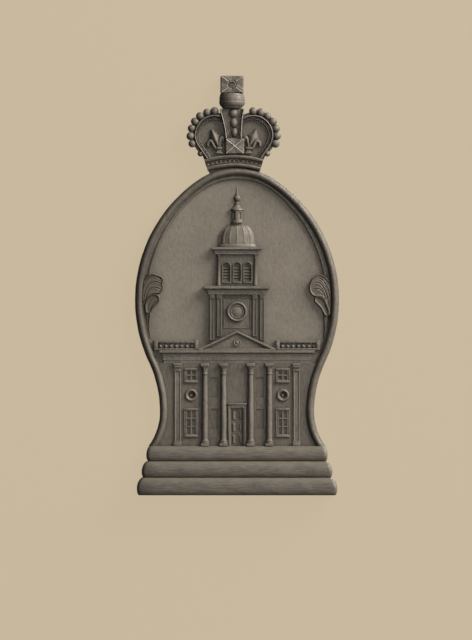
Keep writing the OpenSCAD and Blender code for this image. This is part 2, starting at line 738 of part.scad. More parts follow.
// A step with a full round nose, widest below its middle, that turns the corners
step_belly = 0.36;
module step(w, h, out, y, draw) {
    skin(concat(
        [for (a = [0:22.5:67.5]) let (f = step_under * (1 - sin(a)))
            step_plan(w, out, f, f, y + step_belly * h * (1 - cos(a)))],
        [for (a = [0:11.25:90])
            step_plan(w, out, draw * (1 - cos(a)), step_round * (1 - cos(a)),
                      y + h * (step_belly + (1 - step_belly) * sin(a)))]
    ));
    studs(step_studs(w, h, y), bed);
}

module lower_step() {
    color(lead) stand() step(lower_step_w, lower_step_h, lower_step_out, 0, step_round);
}

module middle_step() {
    color(lead) stand() step(middle_step_w, middle_step_h, middle_step_out, middle_step_y, step_round);
}

module upper_step() {
    color(lead) stand() step(upper_step_w, upper_step_h, upper_step_out, upper_step_y, upper_step_draw);
}

// The dark cap inside the crown's arches
module crown_cap() {
    color(lead_dark) stand() crown() {
        difference() {
            slab(bed, cap_z) difference() {
                crown_lobes(arch_r + 0.9, 1.2);
                translate([0, band_cy]) circle(r = band_top_r + fit_gap, $fn = 180);
            }
            stud_holes(concat(
                arch_ring_studs, flip(arch_ring_studs), strap_studs, front_cross_studs,
                fleur_studs, flip(fleur_studs)
            ));
        }
        studs(cap_studs, bed);
    }
}

// The band at the crown's foot: two rounds with a beaded groove between them
module crown_band() {
    round_w = band_h * 0.34;
    groove_z = bed + band_out * 0.58;
    groove_r = band_r + band_h / 2;
    bead_size = band_h - 2 * round_w;
    color(lead) stand() crown() {
        translate([0, band_cy, 0]) rotate_extrude(angle = 2 * band_angle, start = 90 - band_angle, $fn = 180)
            polygon(concat(
                [[band_top_r, bed]],
                [for (r = [band_top_r - round_w / 2, band_r + round_w / 2]) for (a = [0:22.5:180])
                    [r + round_w / 2 * cos(a), groove_z + (bed + band_out - groove_z) * sin(a)]],
                [[band_r, bed]]
            ));
        for (i = [0:band_beads - 1]) {
            a = 90 + (band_angle - 1.2) * (2 * i / (band_beads - 1) - 1);
            translate([groove_r * cos(a), band_cy + groove_r * sin(a), groove_z])
                sphere(d = bead_size * 0.8, $fn = 24);
        }
        studs(band_studs, bed);
    }
}

// Section of a side arch, from its outer edge in: a broad round and a thin inner bead
round_part = 0.66 * arch_w;
bead_part = arch_w - round_part;
arch_section = concat(
    [[0, cap_z]],
    [for (i = [0:6]) let (a = 180 - 30 * i)
        [round_part / 2 * (1 + cos(a)), cap_z + 0.8 + (arch_out - 0.8) * sin(a)]],
    [for (i = [1:4]) let (a = 180 - 45 * i)
        [round_part + bead_part / 2 * (1 + cos(a)), cap_z + 0.8 + (arch_out - 1.8) * sin(a)]],
    [[arch_w, cap_z]]
);

// A side arch's line: up a straight leg, then round towards the front arch, less an inset
leg_a = -34;
leg_len = 14;
pearl_from = -21;
pearl_to = 90;
function crown_arch_path(inset) =
    let (ring = arc(arch_x, arch_y, arch_r - inset, leg_a, 140, 19))
    concat([ring[0] + leg_len * [sin(leg_a), -cos(leg_a)]], ring);

// A side arch of the crown with its pearls
module crown_arch(strap) {
    pearl_r = arch_r + pearl_d / 2 - 0.4;
    difference() {
        loft([for (p = arch_section) crown_arch_path(p[0])], [for (p = arch_section) p[1]]);
        translate([0, band_cy, -1]) cylinder(h = far / 8, r = band_top_r + fit_gap, $fn = 180);
        slab(bed, far / 8) polygon(strap);
    }
    for (i = [0:pearls - 1]) {
        a = pearl_from + (pearl_to - pearl_from) * i / (pearls - 1);
        pearl(arch_x + pearl_r * cos(a), arch_y + pearl_r * sin(a), pearl_d);
    }
    pearl(arch_x + arch_r * 0.69, arch_y - arch_r * 0.9, pearl_d * 0.74);
    studs(arch_ring_studs, cap_z);
}

// A pearl beside the cap plate, seated on the back plate
module pearl(x, y, d) {
    difference() {
        translate([x, y, cap_z + pearl_d * 0.2]) sphere(d = d, $fn = 40);
        box(x - d, x + d, y - d, y + d, -1, bed);
        slab(-1, cap_z) offset(delta = fit_gap) crown_lobes(arch_r + 0.9, 1.2);
    }
}

module crown_left_arch() {
    color(lead) stand() crown() mirror([1, 0, 0]) crown_arch(flip(strap_outline(fit_gap)));
}

module crown_right_arch() {
    color(lead) stand() crown() crown_arch(strap_outline(fit_gap));
}

// The arch that faces the viewer: raised edges and three jewels
module crown_front_arch() {
    edge_w = 1.3;
    sunk_z = cap_z + 1.4;
    y0 = front_cross_top();
    color(lead) stand() crown() {
        difference() {
            slab(cap_z, cap_z + strap_out) polygon(strap_outline(0));
            slab(sunk_z, far / 8) polygon(strap_outline(-edge_w));
        }
        for (t = [0.19, 0.5, 0.81])
            translate([strap_mid(t) + 0.5, y0 + (orb_y - y0) * t, sunk_z]) difference() {
                scale([1, 1.2, 0.9]) sphere(d = jewel_d, $fn = 32);
                box(-jewel_d, jewel_d, -jewel_d, jewel_d, -jewel_d, -0.4);
            }
        studs(strap_studs, cap_z);
    }
}

// A square block cut with two diagonal grooves, so that four arms meet at its middle
module cross_block(x, y, w, h, z0, z1, groove) {
    diagonal = norm([w, h]);
    corner = 0.9;
    difference() {
        slab(z0, z1) offset(r = corner, $fn = 32) translate([x - w / 2 + corner, y + corner])
            square([w - 2 * corner, h - 2 * corner]);
        for (s = [-1, 1]) translate([x, y + h / 2, z1]) rotate([0, 0, s * atan2(h, w)])
            rotate([45, 0, 0]) translate([-diagonal, -groove / 2, -groove / 2])
                cube([2 * diagonal, groove, groove]);
    }
}

module crown_front_cross() {
    color(lead) stand() crown() {
        cross_block(front_x, front_cross_y(), front_cross_w, front_cross_h, cap_z, cap_z + strap_out, 1.1);
        studs(front_cross_studs, cap_z);
    }
}

// A lily flower: a pointed middle petal, two hooked side petals, a tie and a spreading foot
module fleur() {
    foot = fleur_foot();
    tie_y = 3.4;
    top_y = fleur_h * 0.58;
    translate([foot[0], foot[1], 0]) rotate([0, 0, -fleur_lean]) {
        blade([for (i = [0:8]) [0, tie_y + (fleur_h - tie_y) * i / 8]], 7.6, fleur_out + 0.6, cap_z, 1);
        for (s = [[-1, 4.3], [1, 5.2]]) {
            reach = s[0] * s[1];
            crest = [reach * 0.66, top_y];
            hook = concat(
                bend([s[0] * 0.9, tie_y], [s[0] * 1.6, top_y], crest, 5),
                tail(bend(crest, [reach * 1.06, top_y], [reach, fleur_h * 0.36], 5))
            );
            blade(hook, 2.2, fleur_out, cap_z, 2);
        }
        box(-3, 3, tie_y, tie_y + 1.5, cap_z, cap_z + fleur_out);
        box(-1.7, 1.7, 1, tie_y + 0.2, cap_z, cap_z + fleur_out * 0.75);
        box(-2.6, 2.6, 0, 1.2, cap_z, cap_z + fleur_out * 0.85);
    }
    studs(fleur_studs, cap_z);
}

module crown_left_fleur() {
    color(lead_pale) stand() crown() mirror([1, 0, 0]) fleur();
}

module crown_right_fleur() {
    color(lead_pale) stand() crown() fleur();
}

// The orb, half round, narrowing to its foot
module crown_orb() {
    foot_w = orb_w * 0.7;
    color(lead) stand() crown() {
        half_turned(orb_x, orb_y, bed) polygon(concat(
            [[0, 0], [foot_w / 2, 0]],
            bend([foot_w / 2, 0], [orb_w / 2 + 0.6, orb_h * 0.35], [orb_w / 2, orb_h * 0.62], 6),
            bend([orb_w / 2, orb_h * 0.62], [orb_w / 2 - 0.2, orb_h * 0.9],
                 [cross_w / 2 - 0.4, orb_h - fit_gap], 5),
            [[0, orb_h - fit_gap]]
        ));
        studs(orb_studs, bed);
    }
}

// The cross block on the orb, with the upper nail hole in its ring
module crown_cross() {
    ring_at = [orb_x, cross_y + cross_h / 2];
    color(lead) stand() crown() difference() {
        union() {
            cross_block(orb_x, cross_y, cross_w, cross_h, bed, bed + cross_out, 1.4);
            translate([ring_at[0], ring_at[1], bed + 1])
                cylinder(h = cross_out - 0.7, d = nail_d + 1.8, $fn = 48);
            studs(cross_studs, bed);
        }
        translate([ring_at[0], ring_at[1], -1]) cylinder(h = far / 8, d = nail_d, $fn = 48);
    }
}

// The hall's wall, cut to the rim on both sides, with its openings and sunk panels
module hall_wall() {
    wall_z = bed + wall_out;
    n = 14;
    color(lead_dark) stand() {
        difference() {
            slab(bed, wall_z) polygon(both_sides([for (i = [0:n]) let (y = hall_y + hall_h * i / n)
                [edge_x(y, rim_w + fit_gap), y]]));
            box(-door_w / 2 - fit_gap, door_w / 2 + fit_gap,
                hall_y - 1, hall_y + door_h + fit_gap, 0, far / 8);
            for (s = [-1, 1]) {
                window_hole(s * window_x, lower_window_y, lower_window_h);
                window_hole(s * window_x, upper_window_y, upper_window_h);
                translate([s * window_x, ring_y, 0])
                    cylinder(h = far / 8, d = ring_d - 2 + 2 * fit_gap, $fn = 48);
                pin_holes(pilaster_pins(s), wall_z);
            }
            for (x = column_places) {
                pin_holes(column_pins(x), wall_z);
            }
            for (s = [-1, 1]) for (y = [hall_y + 12, hall_y + 34])
                box(s * panel_x - 2.6, s * panel_x + 2.6, y, y + 14, wall_z - 0.8, far / 8);
        }
        studs(wall_studs, bed);
    }
}

panel_x = (inner_column_x + outer_column_x) / 2;
pilaster_x = edge_x(waist_h, rim_w) - pilaster_gap - pilaster_w / 2;
column_places = [-outer_column_x, -inner_column_x, inner_column_x, outer_column_x];
function column_pins(x) = [for (y = [hall_y + 9, hall_y + hall_h - 10]) [x, y]];
function pilaster_pins(s) = [for (y = [hall_y + 9, hall_y + hall_h - 10]) [s * pilaster_x, y]];

module window_hole(x, y, h) {
    box(x - window_w / 2 - fit_gap, x + window_w / 2 + fit_gap, y - fit_gap, y + h + fit_gap, 0, far / 8);
}

// A sash window: panes at the back, a frame and glazing bars, and a sill
module window(x, y, h, rows) {
    bar = 0.8;
    wall_z = bed + wall_out;
    translate([x, y, 0]) {
        difference() {
            box(-window_w / 2, window_w / 2, 0, h, bed, wall_z + 0.7);
            for (i = [0:1]) for (j = [0:rows - 1]) {
                pane_w = (window_w - 3 * bar) / 2;
                pane_h = (h - (rows + 1) * bar) / rows;
                translate([-window_w / 2 + bar + i * (pane_w + bar), bar + j * (pane_h + bar), wall_z - 1])
                    cube([pane_w, pane_h, 3]);
            }
        }
        box(-window_w / 2 - 0.9, window_w / 2 + 0.9, -1.2, 0.4, wall_z, wall_z + 1.6);
        box(-window_w / 2 - 0.9, window_w / 2 + 0.9, h - 0.4, h + 1, wall_z, wall_z + 1.3);
    }
}

module left_lower_window() {
    color(lead) stand() mirror([1, 0, 0]) lower_window();
}

module right_lower_window() {
    color(lead) stand() lower_window();
}

module lower_window() {
    window(window_x, lower_window_y, lower_window_h, 3);
    studs(lower_window_studs, bed);
}

module upper_window() {
    window(window_x, upper_window_y, upper_window_h, 2);
    studs(upper_window_studs, bed);
}

module left_upper_window() {
    color(lead) stand() mirror([1, 0, 0]) upper_window();
}

module right_upper_window() {
    color(lead) stand() upper_window();
}

// A round ring set in the wall, bored for a nail
module ring() {
    wall_z = bed + wall_out;
    translate([window_x, ring_y, 0]) difference() {
        union() {
            translate([0, 0, bed]) cylinder(h = wall_out + 0.5, d = ring_d - 2, $fn = 48);
            translate([0, 0, wall_z]) rotate_extrude($fn = 48) polygon([
                [0, 0], [ring_d / 2, 0], [ring_d / 2, 0.7], [ring_d / 2 - 0.6, 1.4],
                [ring_d / 2 - 1.4, 1.4], [ring_d / 2 - 1.9, 0.6], [0, 0.6]
            ]);
        }
        translate([0, 0, -1]) cylinder(h = far / 8, d = nail_d, $fn = 48);
    }
}

module left_ring() {
    color(lead_pale) stand() mirror([1, 0, 0]) ring();
}

module right_ring() {
    color(lead_pale) stand() ring();
}

// The double door: a sunk leaf with panels, and a frame that laps the wall
module hall_door() {
    wall_z = bed + wall_out;
    leaf_z = bed + wall_out * 0.3;
    half = door_w / 2;
    panel_w = half - 1.5;
    panel_h = (door_h - 5.2) / 3;
    color(lead) stand() translate([0, hall_y, 0]) {
        box(-half, half, 0, door_h, bed, leaf_z);
        difference() {
            box(-half - door_frame_w, half + door_frame_w, 0, door_h + door_frame_w, bed, wall_z + 1.1);
            box(-half + 0.7, half - 0.7, -1, door_h - 0.7, bed - 1, far / 8);
            difference() {
                box(-far / 8, far / 8, -1, far / 8, 0, wall_z);
                box(-half, half, -2, door_h, -1, far / 4);
            }
        }
        for (s = [-1, 1]) for (j = [0:2])
            box(s * half / 2 - panel_w / 2 + s * -0.2, s * half / 2 + panel_w / 2 - s * 0.2,
                1 + j * (panel_h + 1), 1 + j * (panel_h + 1) + panel_h, bed + 0.2, leaf_z + 0.9);
        box(-half - 2.2, half + 2.2, door_h + door_frame_w - 0.2, door_h + door_frame_w + 1.3,
            wall_z, wall_z + 2);
    }
    color(lead) stand() studs(door_studs, bed);
}

// A column: plinth, round base, slightly tapering shaft, neck ring and spreading capital
module column(x) {
    wall_z = bed + wall_out;
    r = column_d / 2;
    top = hall_h - fit_gap;
    back = 0.9;
    color(lead_pale) stand() {
        half_turned(x, hall_y, wall_z + back) polygon(concat(
            [[0, 1.9], [r * 1.05, 1.9]],
            [for (i = [0:4]) let (a = -90 + 45 * i) [r * 1.05 + 0.5 * cos(a), 2.7 + 0.8 * sin(a)]],
            [[r * 0.95, 3.5], [r * 0.95, 4.2], [r * 0.88, 4.6]],
            bend([r * 0.88, 5], [r * 0.9, top * 0.4], [r * 0.76, top - 8], 6),
            [[r * 0.92, top - 7.8], [r * 0.92, top - 7], [r * 0.78, top - 6.8]],
            bend([r * 0.78, top - 6.4], [r * 0.86, top - 3.6], [r * 1.18, top - 1.9], 5),
            [[0, top - 1.9]]
        ));
        box(x - r * 0.76, x + r * 0.76, hall_y, hall_y + top, wall_z, wall_z + back);
        box(x - r * 1.2, x + r * 1.2, hall_y, hall_y + 2, wall_z, wall_z + back + r * 1.2);
        box(x - r * 1.24, x + r * 1.24, hall_y + top - 2, hall_y + top, wall_z, wall_z + back + r * 1.24);
        pins(column_pins(x), wall_z);
    }
}

module column_1() { column(column_places[0]); }
module column_2() { column(column_places[1]); }
module column_3() { column(column_places[2]); }
module column_4() { column(column_places[3]); }

// A flat pilaster with a base and a cap
module pilaster(s) {
    wall_z = bed + wall_out;
    half = pilaster_w / 2;
    top = hall_h - fit_gap;
    x = s * pilaster_x;
    color(lead) stand() {
        difference() {
            box(x - half, x + half, hall_y, hall_y + top, wall_z, wall_z + 1.3);
            box(x - half + 0.9, x + half - 0.9, hall_y + 6, hall_y + top - 7, wall_z + 0.8, far / 8);
        }
        box(x - half - 0.6, x + half + 0.6, hall_y, hall_y + 3, wall_z, wall_z + 2);
        box(x - half - 0.3, x + half + 0.3, hall_y + top - 5.4, hall_y + top - 4.6, wall_z, wall_z + 1.7);
        box(x - half - 0.5, x + half + 0.5, hall_y + top - 3, hall_y + top - 1.4, wall_z, wall_z + 2);
        box(x - half - 0.8, x + half + 0.8, hall_y + top - 1.5, hall_y + top, wall_z, wall_z + 2.4);
        pins(pilaster_pins(s), wall_z);
    }
}

module left_pilaster() { pilaster(-1); }
module right_pilaster() { pilaster(1); }

module hall_cornice() {
    color(lead) stand() {
        cornice(hall_cornice_half, wall_out, hall_cornice_y, concat(
            [for (p = [[0.2, 0], [0.2, 0.24], [0.7, 0.24], [0.7, 0.42]]) [p[0], p[1] * hall_cornice_h]],
            [for (p = cornice_steps(hall_cornice_out, hall_cornice_h * 0.58))
                [p[0], p[1] + hall_cornice_h * 0.42]]
        ));
        studs(hall_cornice_studs, bed);
    }
}

// The low gable over the columns, with raking edges and a small round boss
module pediment() {
    half = pediment_w / 2;
    rake = 2.4;
    face_z = bed + stage_out;
    slope = atan2(pediment_h, half);
    color(lead) stand() translate([0, tower_y, 0]) {
        difference() {
            slab(bed, face_z + pediment_out)
                polygon([[-half, 0], [half, 0], [half, 0.8], [0, pediment_h], [-half, 0.8]]);
            slab(face_z + pediment_out * 0.15, far / 8)
                polygon([[-half + 4.5, 1], [half - 4.5, 1], [0, pediment_h - rake / cos(slope)]]);
            box(-stage_w / 2 - fit_gap, stage_w / 2 + fit_gap, -1, far / 8, 0, face_z);
        }
        translate([0, pediment_h * 0.4, face_z])
            cylinder(h = pediment_out * 0.8, d = pediment_h * 0.36, $fn = 40);
    }
    color(lead) stand() studs(concat(pediment_studs, flip(pediment_studs)), bed);
}

// A row of turned balusters between a plinth and a rail
module balustrade() {
    x0 = balustrade_x0;
    x1 = balustrade_x1;
    h = balustrade_h;
    pier = 2.6;
    pitch = (x1 - x0 - 2 * pier) / balusters;
    r = min(pitch * 0.42, balustrade_out * 0.5);
    translate([0, tower_y, 0]) {
        box(x0, x1, 0, h, bed, bed + balustrade_out * 0.3);
        box(x0, x1, 0, 1.2, bed, bed + balustrade_out);
        box(x0, x1, h - 1.4, h, bed, bed + balustrade_out);
        box(x0, x0 + pier, 0, h + pier_rise, bed, bed + balustrade_out + 0.3);
        box(x1 - pier, x1, 0, h + pier_rise, bed, bed + balustrade_out + 0.3);
        for (i = [0:balusters - 1])
            half_turned(x0 + pier + pitch * (i + 0.5), 1, bed + balustrade_out * 0.3, $fn = 24) polygon([
                [0, 0], [r * 0.7, 0], [r * 0.5, 0.5], [r, 1.4], [r * 0.9, 2.2],
                [r * 0.45, h - 3], [r * 0.7, h - 2.2], [0, h - 2.2]
            ]);
    }
    studs(balustrade_studs, bed);
}

module left_balustrade() {
    color(lead) stand() mirror([1, 0, 0]) balustrade();
}

module right_balustrade() {
    color(lead) stand() balustrade();
}

// The tower's lower stage: a wall with paired corner strips and a sunk middle
module tower_stage() {
    half = stage_w / 2;
    strip = 3.2;
    face_z = bed + stage_out;
    top = stage_h - fit_gap;
    color(lead_dark) stand() {
        difference() {
            translate([0, tower_y, 0]) union() {
                box(-half, half, 0, top, bed, face_z);
                for (s = [-1, 1]) for (x = [half - strip / 2, half - strip * 2.1]) {
                    above_gable = pediment_h * (1 - (x - strip / 2) / (pediment_w / 2)) + 1.4;
                    box(s * x - strip / 2, s * x + strip / 2, above_gable, top, bed, face_z + 1.5);
                    box(s * x - strip / 2 - 0.3, s * x + strip / 2 + (x > half - strip ? 0 : 0.3),
                        top - 2.6, top, bed, face_z + 2);
                }
            }
            pin_holes(medallion_pins, face_z);
        }
        studs(stage_studs, bed);
    }
}

medallion_y = (tower_y + pediment_h + stage_cornice_y) / 2 + 0.6;
medallion_pins = [for (s = [-1, 1]) [s * 3, medallion_y]];

// A blank round medallion with a moulded edge
module tower_medallion() {
    face_z = bed + stage_out;
    r = medallion_d / 2;
    color(lead_pale) stand() {
        translate([0, medallion_y, face_z]) rotate_extrude($fn = 64) polygon([
            [0, 0], [r, 0], [r, 0.8], [r - 0.5, 1.5], [r - 1.3, 1.8], [r - 2, 1.3], [r - 2.2, 0.8],
            [r * 0.4, 1], [0, 1.3]
        ]);
        pins(medallion_pins, face_z);
    }
}

module tower_cornice() {
    color(lead) stand() {
        cornice(stage_w / 2, stage_out + 1.5, stage_cornice_y,
                cornice_steps(stage_cornice_out, stage_cornice_h - fit_gap));
        studs(stage_cornice_studs, bed);
    }
}

// The belfry: three slim arched openings with louvres
module belfry() {
    half = belfry_w / 2;
    face_z = bed + belfry_out;
    post = 3.4;
    bay = (belfry_w - 2 * post) / 3;
    open_w = bay * 0.66;
    sill = 3;
    spring = belfry_h * 0.62;
    top = belfry_h - fit_gap;
    color(lead_dark) stand() {
        translate([0, belfry_y, 0]) {
            difference() {
                union() {
                    box(-half, half, 0, top, bed, face_z);
                    for (i = [-1:1]) translate([i * bay, 0, 0]) slab(bed, face_z + 0.7) {
                        translate([-open_w / 2 - 0.7, sill - 0.8])
                            square([open_w + 1.4, spring - sill + 0.8]);
                        translate([0, spring]) circle(d = open_w + 1.4, $fn = 40);
                    }
                }
                for (i = [-1:1]) translate([i * bay, 0, 0]) slab(face_z - 1.6, far / 8) {
                    translate([-open_w / 2, sill]) square([open_w, spring - sill]);
                    translate([0, spring]) circle(d = open_w, $fn = 40);
                }
            }
            for (i = [-1:1]) for (j = [0:4])
                translate([i * bay, sill + 0.9 + j * (spring - sill) / 5, 0]) along(open_w + 0.4)
                    polygon([[face_z - 1.8, 0], [face_z - 0.3, 0], [face_z - 1.8, 1.3]]);
            for (s = [-1, 1]) half_turned(s * (half - post / 2), 0, face_z, $fn = 32) polygon([
                [0, 0], [1.6, 0], [1.6, 1.6], [1.25, 2.2], [1.1, top - 2.8], [1.3, top - 2.4],
                [1.6, top - 1.2], [1.6, top], [0, top]
            ]);
        }
        studs(belfry_studs, bed);
    }
}

module belfry_cornice() {
    color(lead) stand() {
        cornice(belfry_w / 2, belfry_out + 1.2, belfry_cornice_y,
                cornice_steps(belfry_cornice_out, belfry_cornice_h - fit_gap));
        studs(belfry_cornice_studs, bed);
    }
}

// The dome, drawn in to a shallow relief, with ribs that follow its curve
module dome() {
    r = dome_w / 2;
    neck = lantern_w / 2 + 0.8;
    profile = concat(
        [[0, 0], [r, 0], [r, 1.6], [r - 0.9, 2.2]],
        bend([r - 0.9, 2.2], [r - 1.2, dome_h * 0.86], [neck, dome_h - 1.2], 8),
        [[neck, dome_h - fit_gap], [0, dome_h - fit_gap]]
    );
    rib = concat(
        [[r * 0.3, 2], [r - 0.1, 2]],
        bend([r - 0.1, 2.2], [r - 0.4, dome_h * 0.9], [neck + 0.6, dome_h - 0.6], 8),
        [[r * 0.2, dome_h - 0.6]]
    );
    color(lead) stand() {
        translate([0, dome_y, bed]) scale([1, 1, dome_out / r]) {
            half_turned(0, 0, 0) polygon(profile);
            for (a = [-72:24:72]) rotate([-90, 0, 0])
                rotate_extrude(angle = 6, start = 270 + a - 3, $fn = 60) polygon(rib);
        }
        studs(dome_studs, bed);
    }
}

// The lantern: a ring of narrow lights under a bell-shaped cap
module lantern() {
    r = lantern_w / 2;
    body = lantern_h * 0.66;
    color(lead) stand() {
        difference() {
            half_turned(0, lantern_y, bed) polygon([
                [0, 0], [r + 0.6, 0], [r + 0.6, 1], [r, 1.5], [r, body - 1], [r + 0.9, body - 0.5],
                [r + 0.9, body + 0.6], [r * 0.82, body + 1.6], [r * 0.46, lantern_h - 1.6],
                [r * 0.46, lantern_h - fit_gap], [0, lantern_h - fit_gap]
            ]);
            for (x = [-r * 0.5, r * 0.5])
                box(x - r * 0.22, x + r * 0.22, lantern_y + 2.4, lantern_y + body - 2,
                    bed + r * 0.55, far / 8);
        }
        studs(lantern_studs, bed);
    }
}

// The finial: a ball between two collars and a spike
module finial() {
    ball_r = finial_h * 0.21;
    color(lead_pale) stand() {
        half_turned(0, finial_y, bed) polygon(concat(
            [[0, 0], [1.5, 0], [1.1, 1]],
            [for (i = [0:8]) let (a = -60 + 15 * i) [ball_r * cos(a), finial_ball_y + ball_r * sin(a)]],
            [[1.3, finial_h * 0.49], [0.8, finial_h * 0.53], [0.35, finial_h - 0.4], [0.2, finial_h],
             [0, finial_h]]
        ));
        studs(finial_studs, bed);
    }
}

back_plate();
arch_moulding();
left_side_moulding();
right_side_moulding();
left_leaf();
right_leaf();
lower_step();
middle_step();
upper_step();
crown_cap();
crown_band();
crown_left_arch();
crown_right_arch();
crown_front_arch();
crown_front_cross();
crown_left_fleur();
crown_right_fleur();
crown_orb();
crown_cross();
hall_wall();
hall_cornice();
hall_door();
column_1();
column_2();
column_3();
column_4();
left_pilaster();
right_pilaster();
left_lower_window();
right_lower_window();
left_upper_window();
right_upper_window();
left_ring();
right_ring();
pediment();
left_balustrade();
right_balustrade();
tower_stage();
tower_medallion();
tower_cornice();
belfry();
belfry_cornice();
dome();
lantern();
finial();
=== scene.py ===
import bpy
import json
import numpy as np
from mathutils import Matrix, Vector


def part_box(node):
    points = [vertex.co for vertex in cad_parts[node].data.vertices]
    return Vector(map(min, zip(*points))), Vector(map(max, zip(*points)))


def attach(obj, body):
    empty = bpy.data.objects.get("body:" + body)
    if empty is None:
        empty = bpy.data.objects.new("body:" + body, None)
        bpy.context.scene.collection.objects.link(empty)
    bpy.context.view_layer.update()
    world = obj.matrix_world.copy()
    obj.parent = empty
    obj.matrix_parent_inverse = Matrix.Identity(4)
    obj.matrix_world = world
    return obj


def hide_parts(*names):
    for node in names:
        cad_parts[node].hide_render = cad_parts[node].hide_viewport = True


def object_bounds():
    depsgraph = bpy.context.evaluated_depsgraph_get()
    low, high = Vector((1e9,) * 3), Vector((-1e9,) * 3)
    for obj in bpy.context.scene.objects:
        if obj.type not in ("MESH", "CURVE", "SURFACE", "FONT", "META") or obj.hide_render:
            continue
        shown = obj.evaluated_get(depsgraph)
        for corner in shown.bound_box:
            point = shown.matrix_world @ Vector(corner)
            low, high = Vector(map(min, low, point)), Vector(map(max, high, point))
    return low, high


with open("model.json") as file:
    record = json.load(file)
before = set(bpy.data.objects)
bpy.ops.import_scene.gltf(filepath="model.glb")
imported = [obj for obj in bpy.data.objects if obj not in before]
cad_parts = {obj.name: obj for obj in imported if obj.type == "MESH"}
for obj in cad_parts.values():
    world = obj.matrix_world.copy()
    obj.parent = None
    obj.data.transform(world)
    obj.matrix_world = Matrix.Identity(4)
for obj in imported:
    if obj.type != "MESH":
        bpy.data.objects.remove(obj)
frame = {"nodes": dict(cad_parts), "record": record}
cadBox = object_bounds()
scene = bpy.context.scene
mm = 0.001

# All shapes are worked out in millimetres as x, z and out, the distance from the wall.

# Camera, wall, floor and lamps

view = {"height": 448.0, "x": -0.7, "z": -13.9, "distance": 3000.0, "sensor": 36.0}
stage = {"paper": (0.580, 0.484, 0.344), "ownLight": 0.94, "size": 6000.0, "gap": 0.6,
         # The dark disc and its paler middle paint the shade on the wall behind each nail hole
         "floorZ": -900.0, "shade": (0.018, 0.015, 0.012), "shadeOut": -0.3, "shadeR": 2.6,
         "nail": (0.12, 0.105, 0.086), "nailOut": -0.2, "nailR": {"bore": 1.5, "bolt_pattern": 0.9}}
lamps = {
    "key": {"place": (1550, 1350, 900), "size": 1300, "power": 90.0, "colour": (1.0, 0.965, 0.90)},
    "front": {"place": (300, 300, 2400), "size": 900, "power": 15.0, "colour": (1.0, 0.98, 0.95)},
    "back": {"place": (500, 900, -1500), "size": 900, "power": 12.0, "colour": (1.0, 0.98, 0.95)},
}
sky = {"colour": (0.62, 0.60, 0.57), "strength": {"To Min": 0.06, "To Max": 0.68}}


def row(x, z, out):
    return Vector((x * mm, -out * mm, z * mm))


def fill(tree, node, inputs):
    # Each input is linked to a socket or gets a plain value
    for key, value in dict(inputs).items():
        if isinstance(value, bpy.types.NodeSocket):
            tree.links.new(value, node.inputs[key])
        else:
            node.inputs[key].default_value = value


def nodeAdder(tree):
    def add(kind, inputs=(), output=0, **options):
        node = tree.nodes.new("ShaderNode" + kind)
        for name, value in options.items():
            setattr(node, name, value)
        fill(tree, node, inputs)
        return node.outputs[output] if node.outputs else node
    return add


def addCamera():
    data = bpy.data.cameras.new("camera")
    data.sensor_width = view["sensor"]
    data.lens = view["sensor"] * view["distance"] / view["height"]
    data.clip_start, data.clip_end = 0.1, 50
    camera = bpy.data.objects.new("camera", data)
    camera.location = row(view["x"], view["z"], view["distance"])
    camera.rotation_euler = (np.pi / 2, 0, 0)
    scene.collection.objects.link(camera)
    scene.camera = camera


def stageMaterial(name):
    material = bpy.data.materials.new(name)
    material.use_nodes = True
    material.node_tree.nodes.clear()
    add = nodeAdder(material.node_tree)
    colour = {"Color": (*stage[name], 1)}
    lit, own = add("BsdfDiffuse", colour), add("Emission", colour)
    paper = add("MixShader", {0: stage["ownLight"], 1: lit, 2: own})
    # Seen through from behind, so that the back can be looked at
    behind = add("NewGeometry", output="Backfacing")
    oneSided = add("MixShader", {0: behind, 1: paper, 2: add("BsdfTransparent")})
    add("OutputMaterial", {"Surface": oneSided})
    return material


def addSheet(name, places, material):
    mesh = bpy.data.meshes.new(name)
    mesh.from_pydata([row(*p) for p in places], [], [tuple(range(len(places)))])
    sheet = bpy.data.objects.new(name, mesh)
    mesh.materials.append(material)
    scene.collection.objects.link(sheet)
    sheet.visible_shadow = sheet.visible_diffuse = sheet.visible_glossy = False


def addStage():
    half, paper = stage["size"] / 2, stageMaterial("paper")
    corners = [(-half, -half), (half, -half), (half, half), (-half, half)]
    addSheet("wall", [(x, z, -stage["gap"]) for x, z in corners], paper)
    addSheet("floor", [(x, stage["floorZ"], -out) for x, out in corners], paper)
    # Painted shade: a dark disc on the wall behind each nail hole, with a paler painted middle
    places = []
    for mount in frame["record"]["mounts"]:
        x, _, z = (v / mm for v in mount["pos_m"])
        reach = mount["dims"].get("spacing_x_mm", 0) / 2
        if mount["kind"] in stage["nailR"]:
            r = stage["nailR"][mount["kind"]]
            places += [(x + side * reach, z, r) for side in ((-1, 1) if reach else (1,))]
    turn = np.linspace(0, 2 * np.pi, 32, endpoint=False)
    for name in ("shade", "nail"):
        material, out = stageMaterial(name), stage[name + "Out"]
        for i, (x, z, r) in enumerate(places):
            r = stage["shadeR"] if name == "shade" else r
            addSheet(f"{name}{i}", [(x + r * np.cos(a), z + r * np.sin(a), out) for a in turn], material)


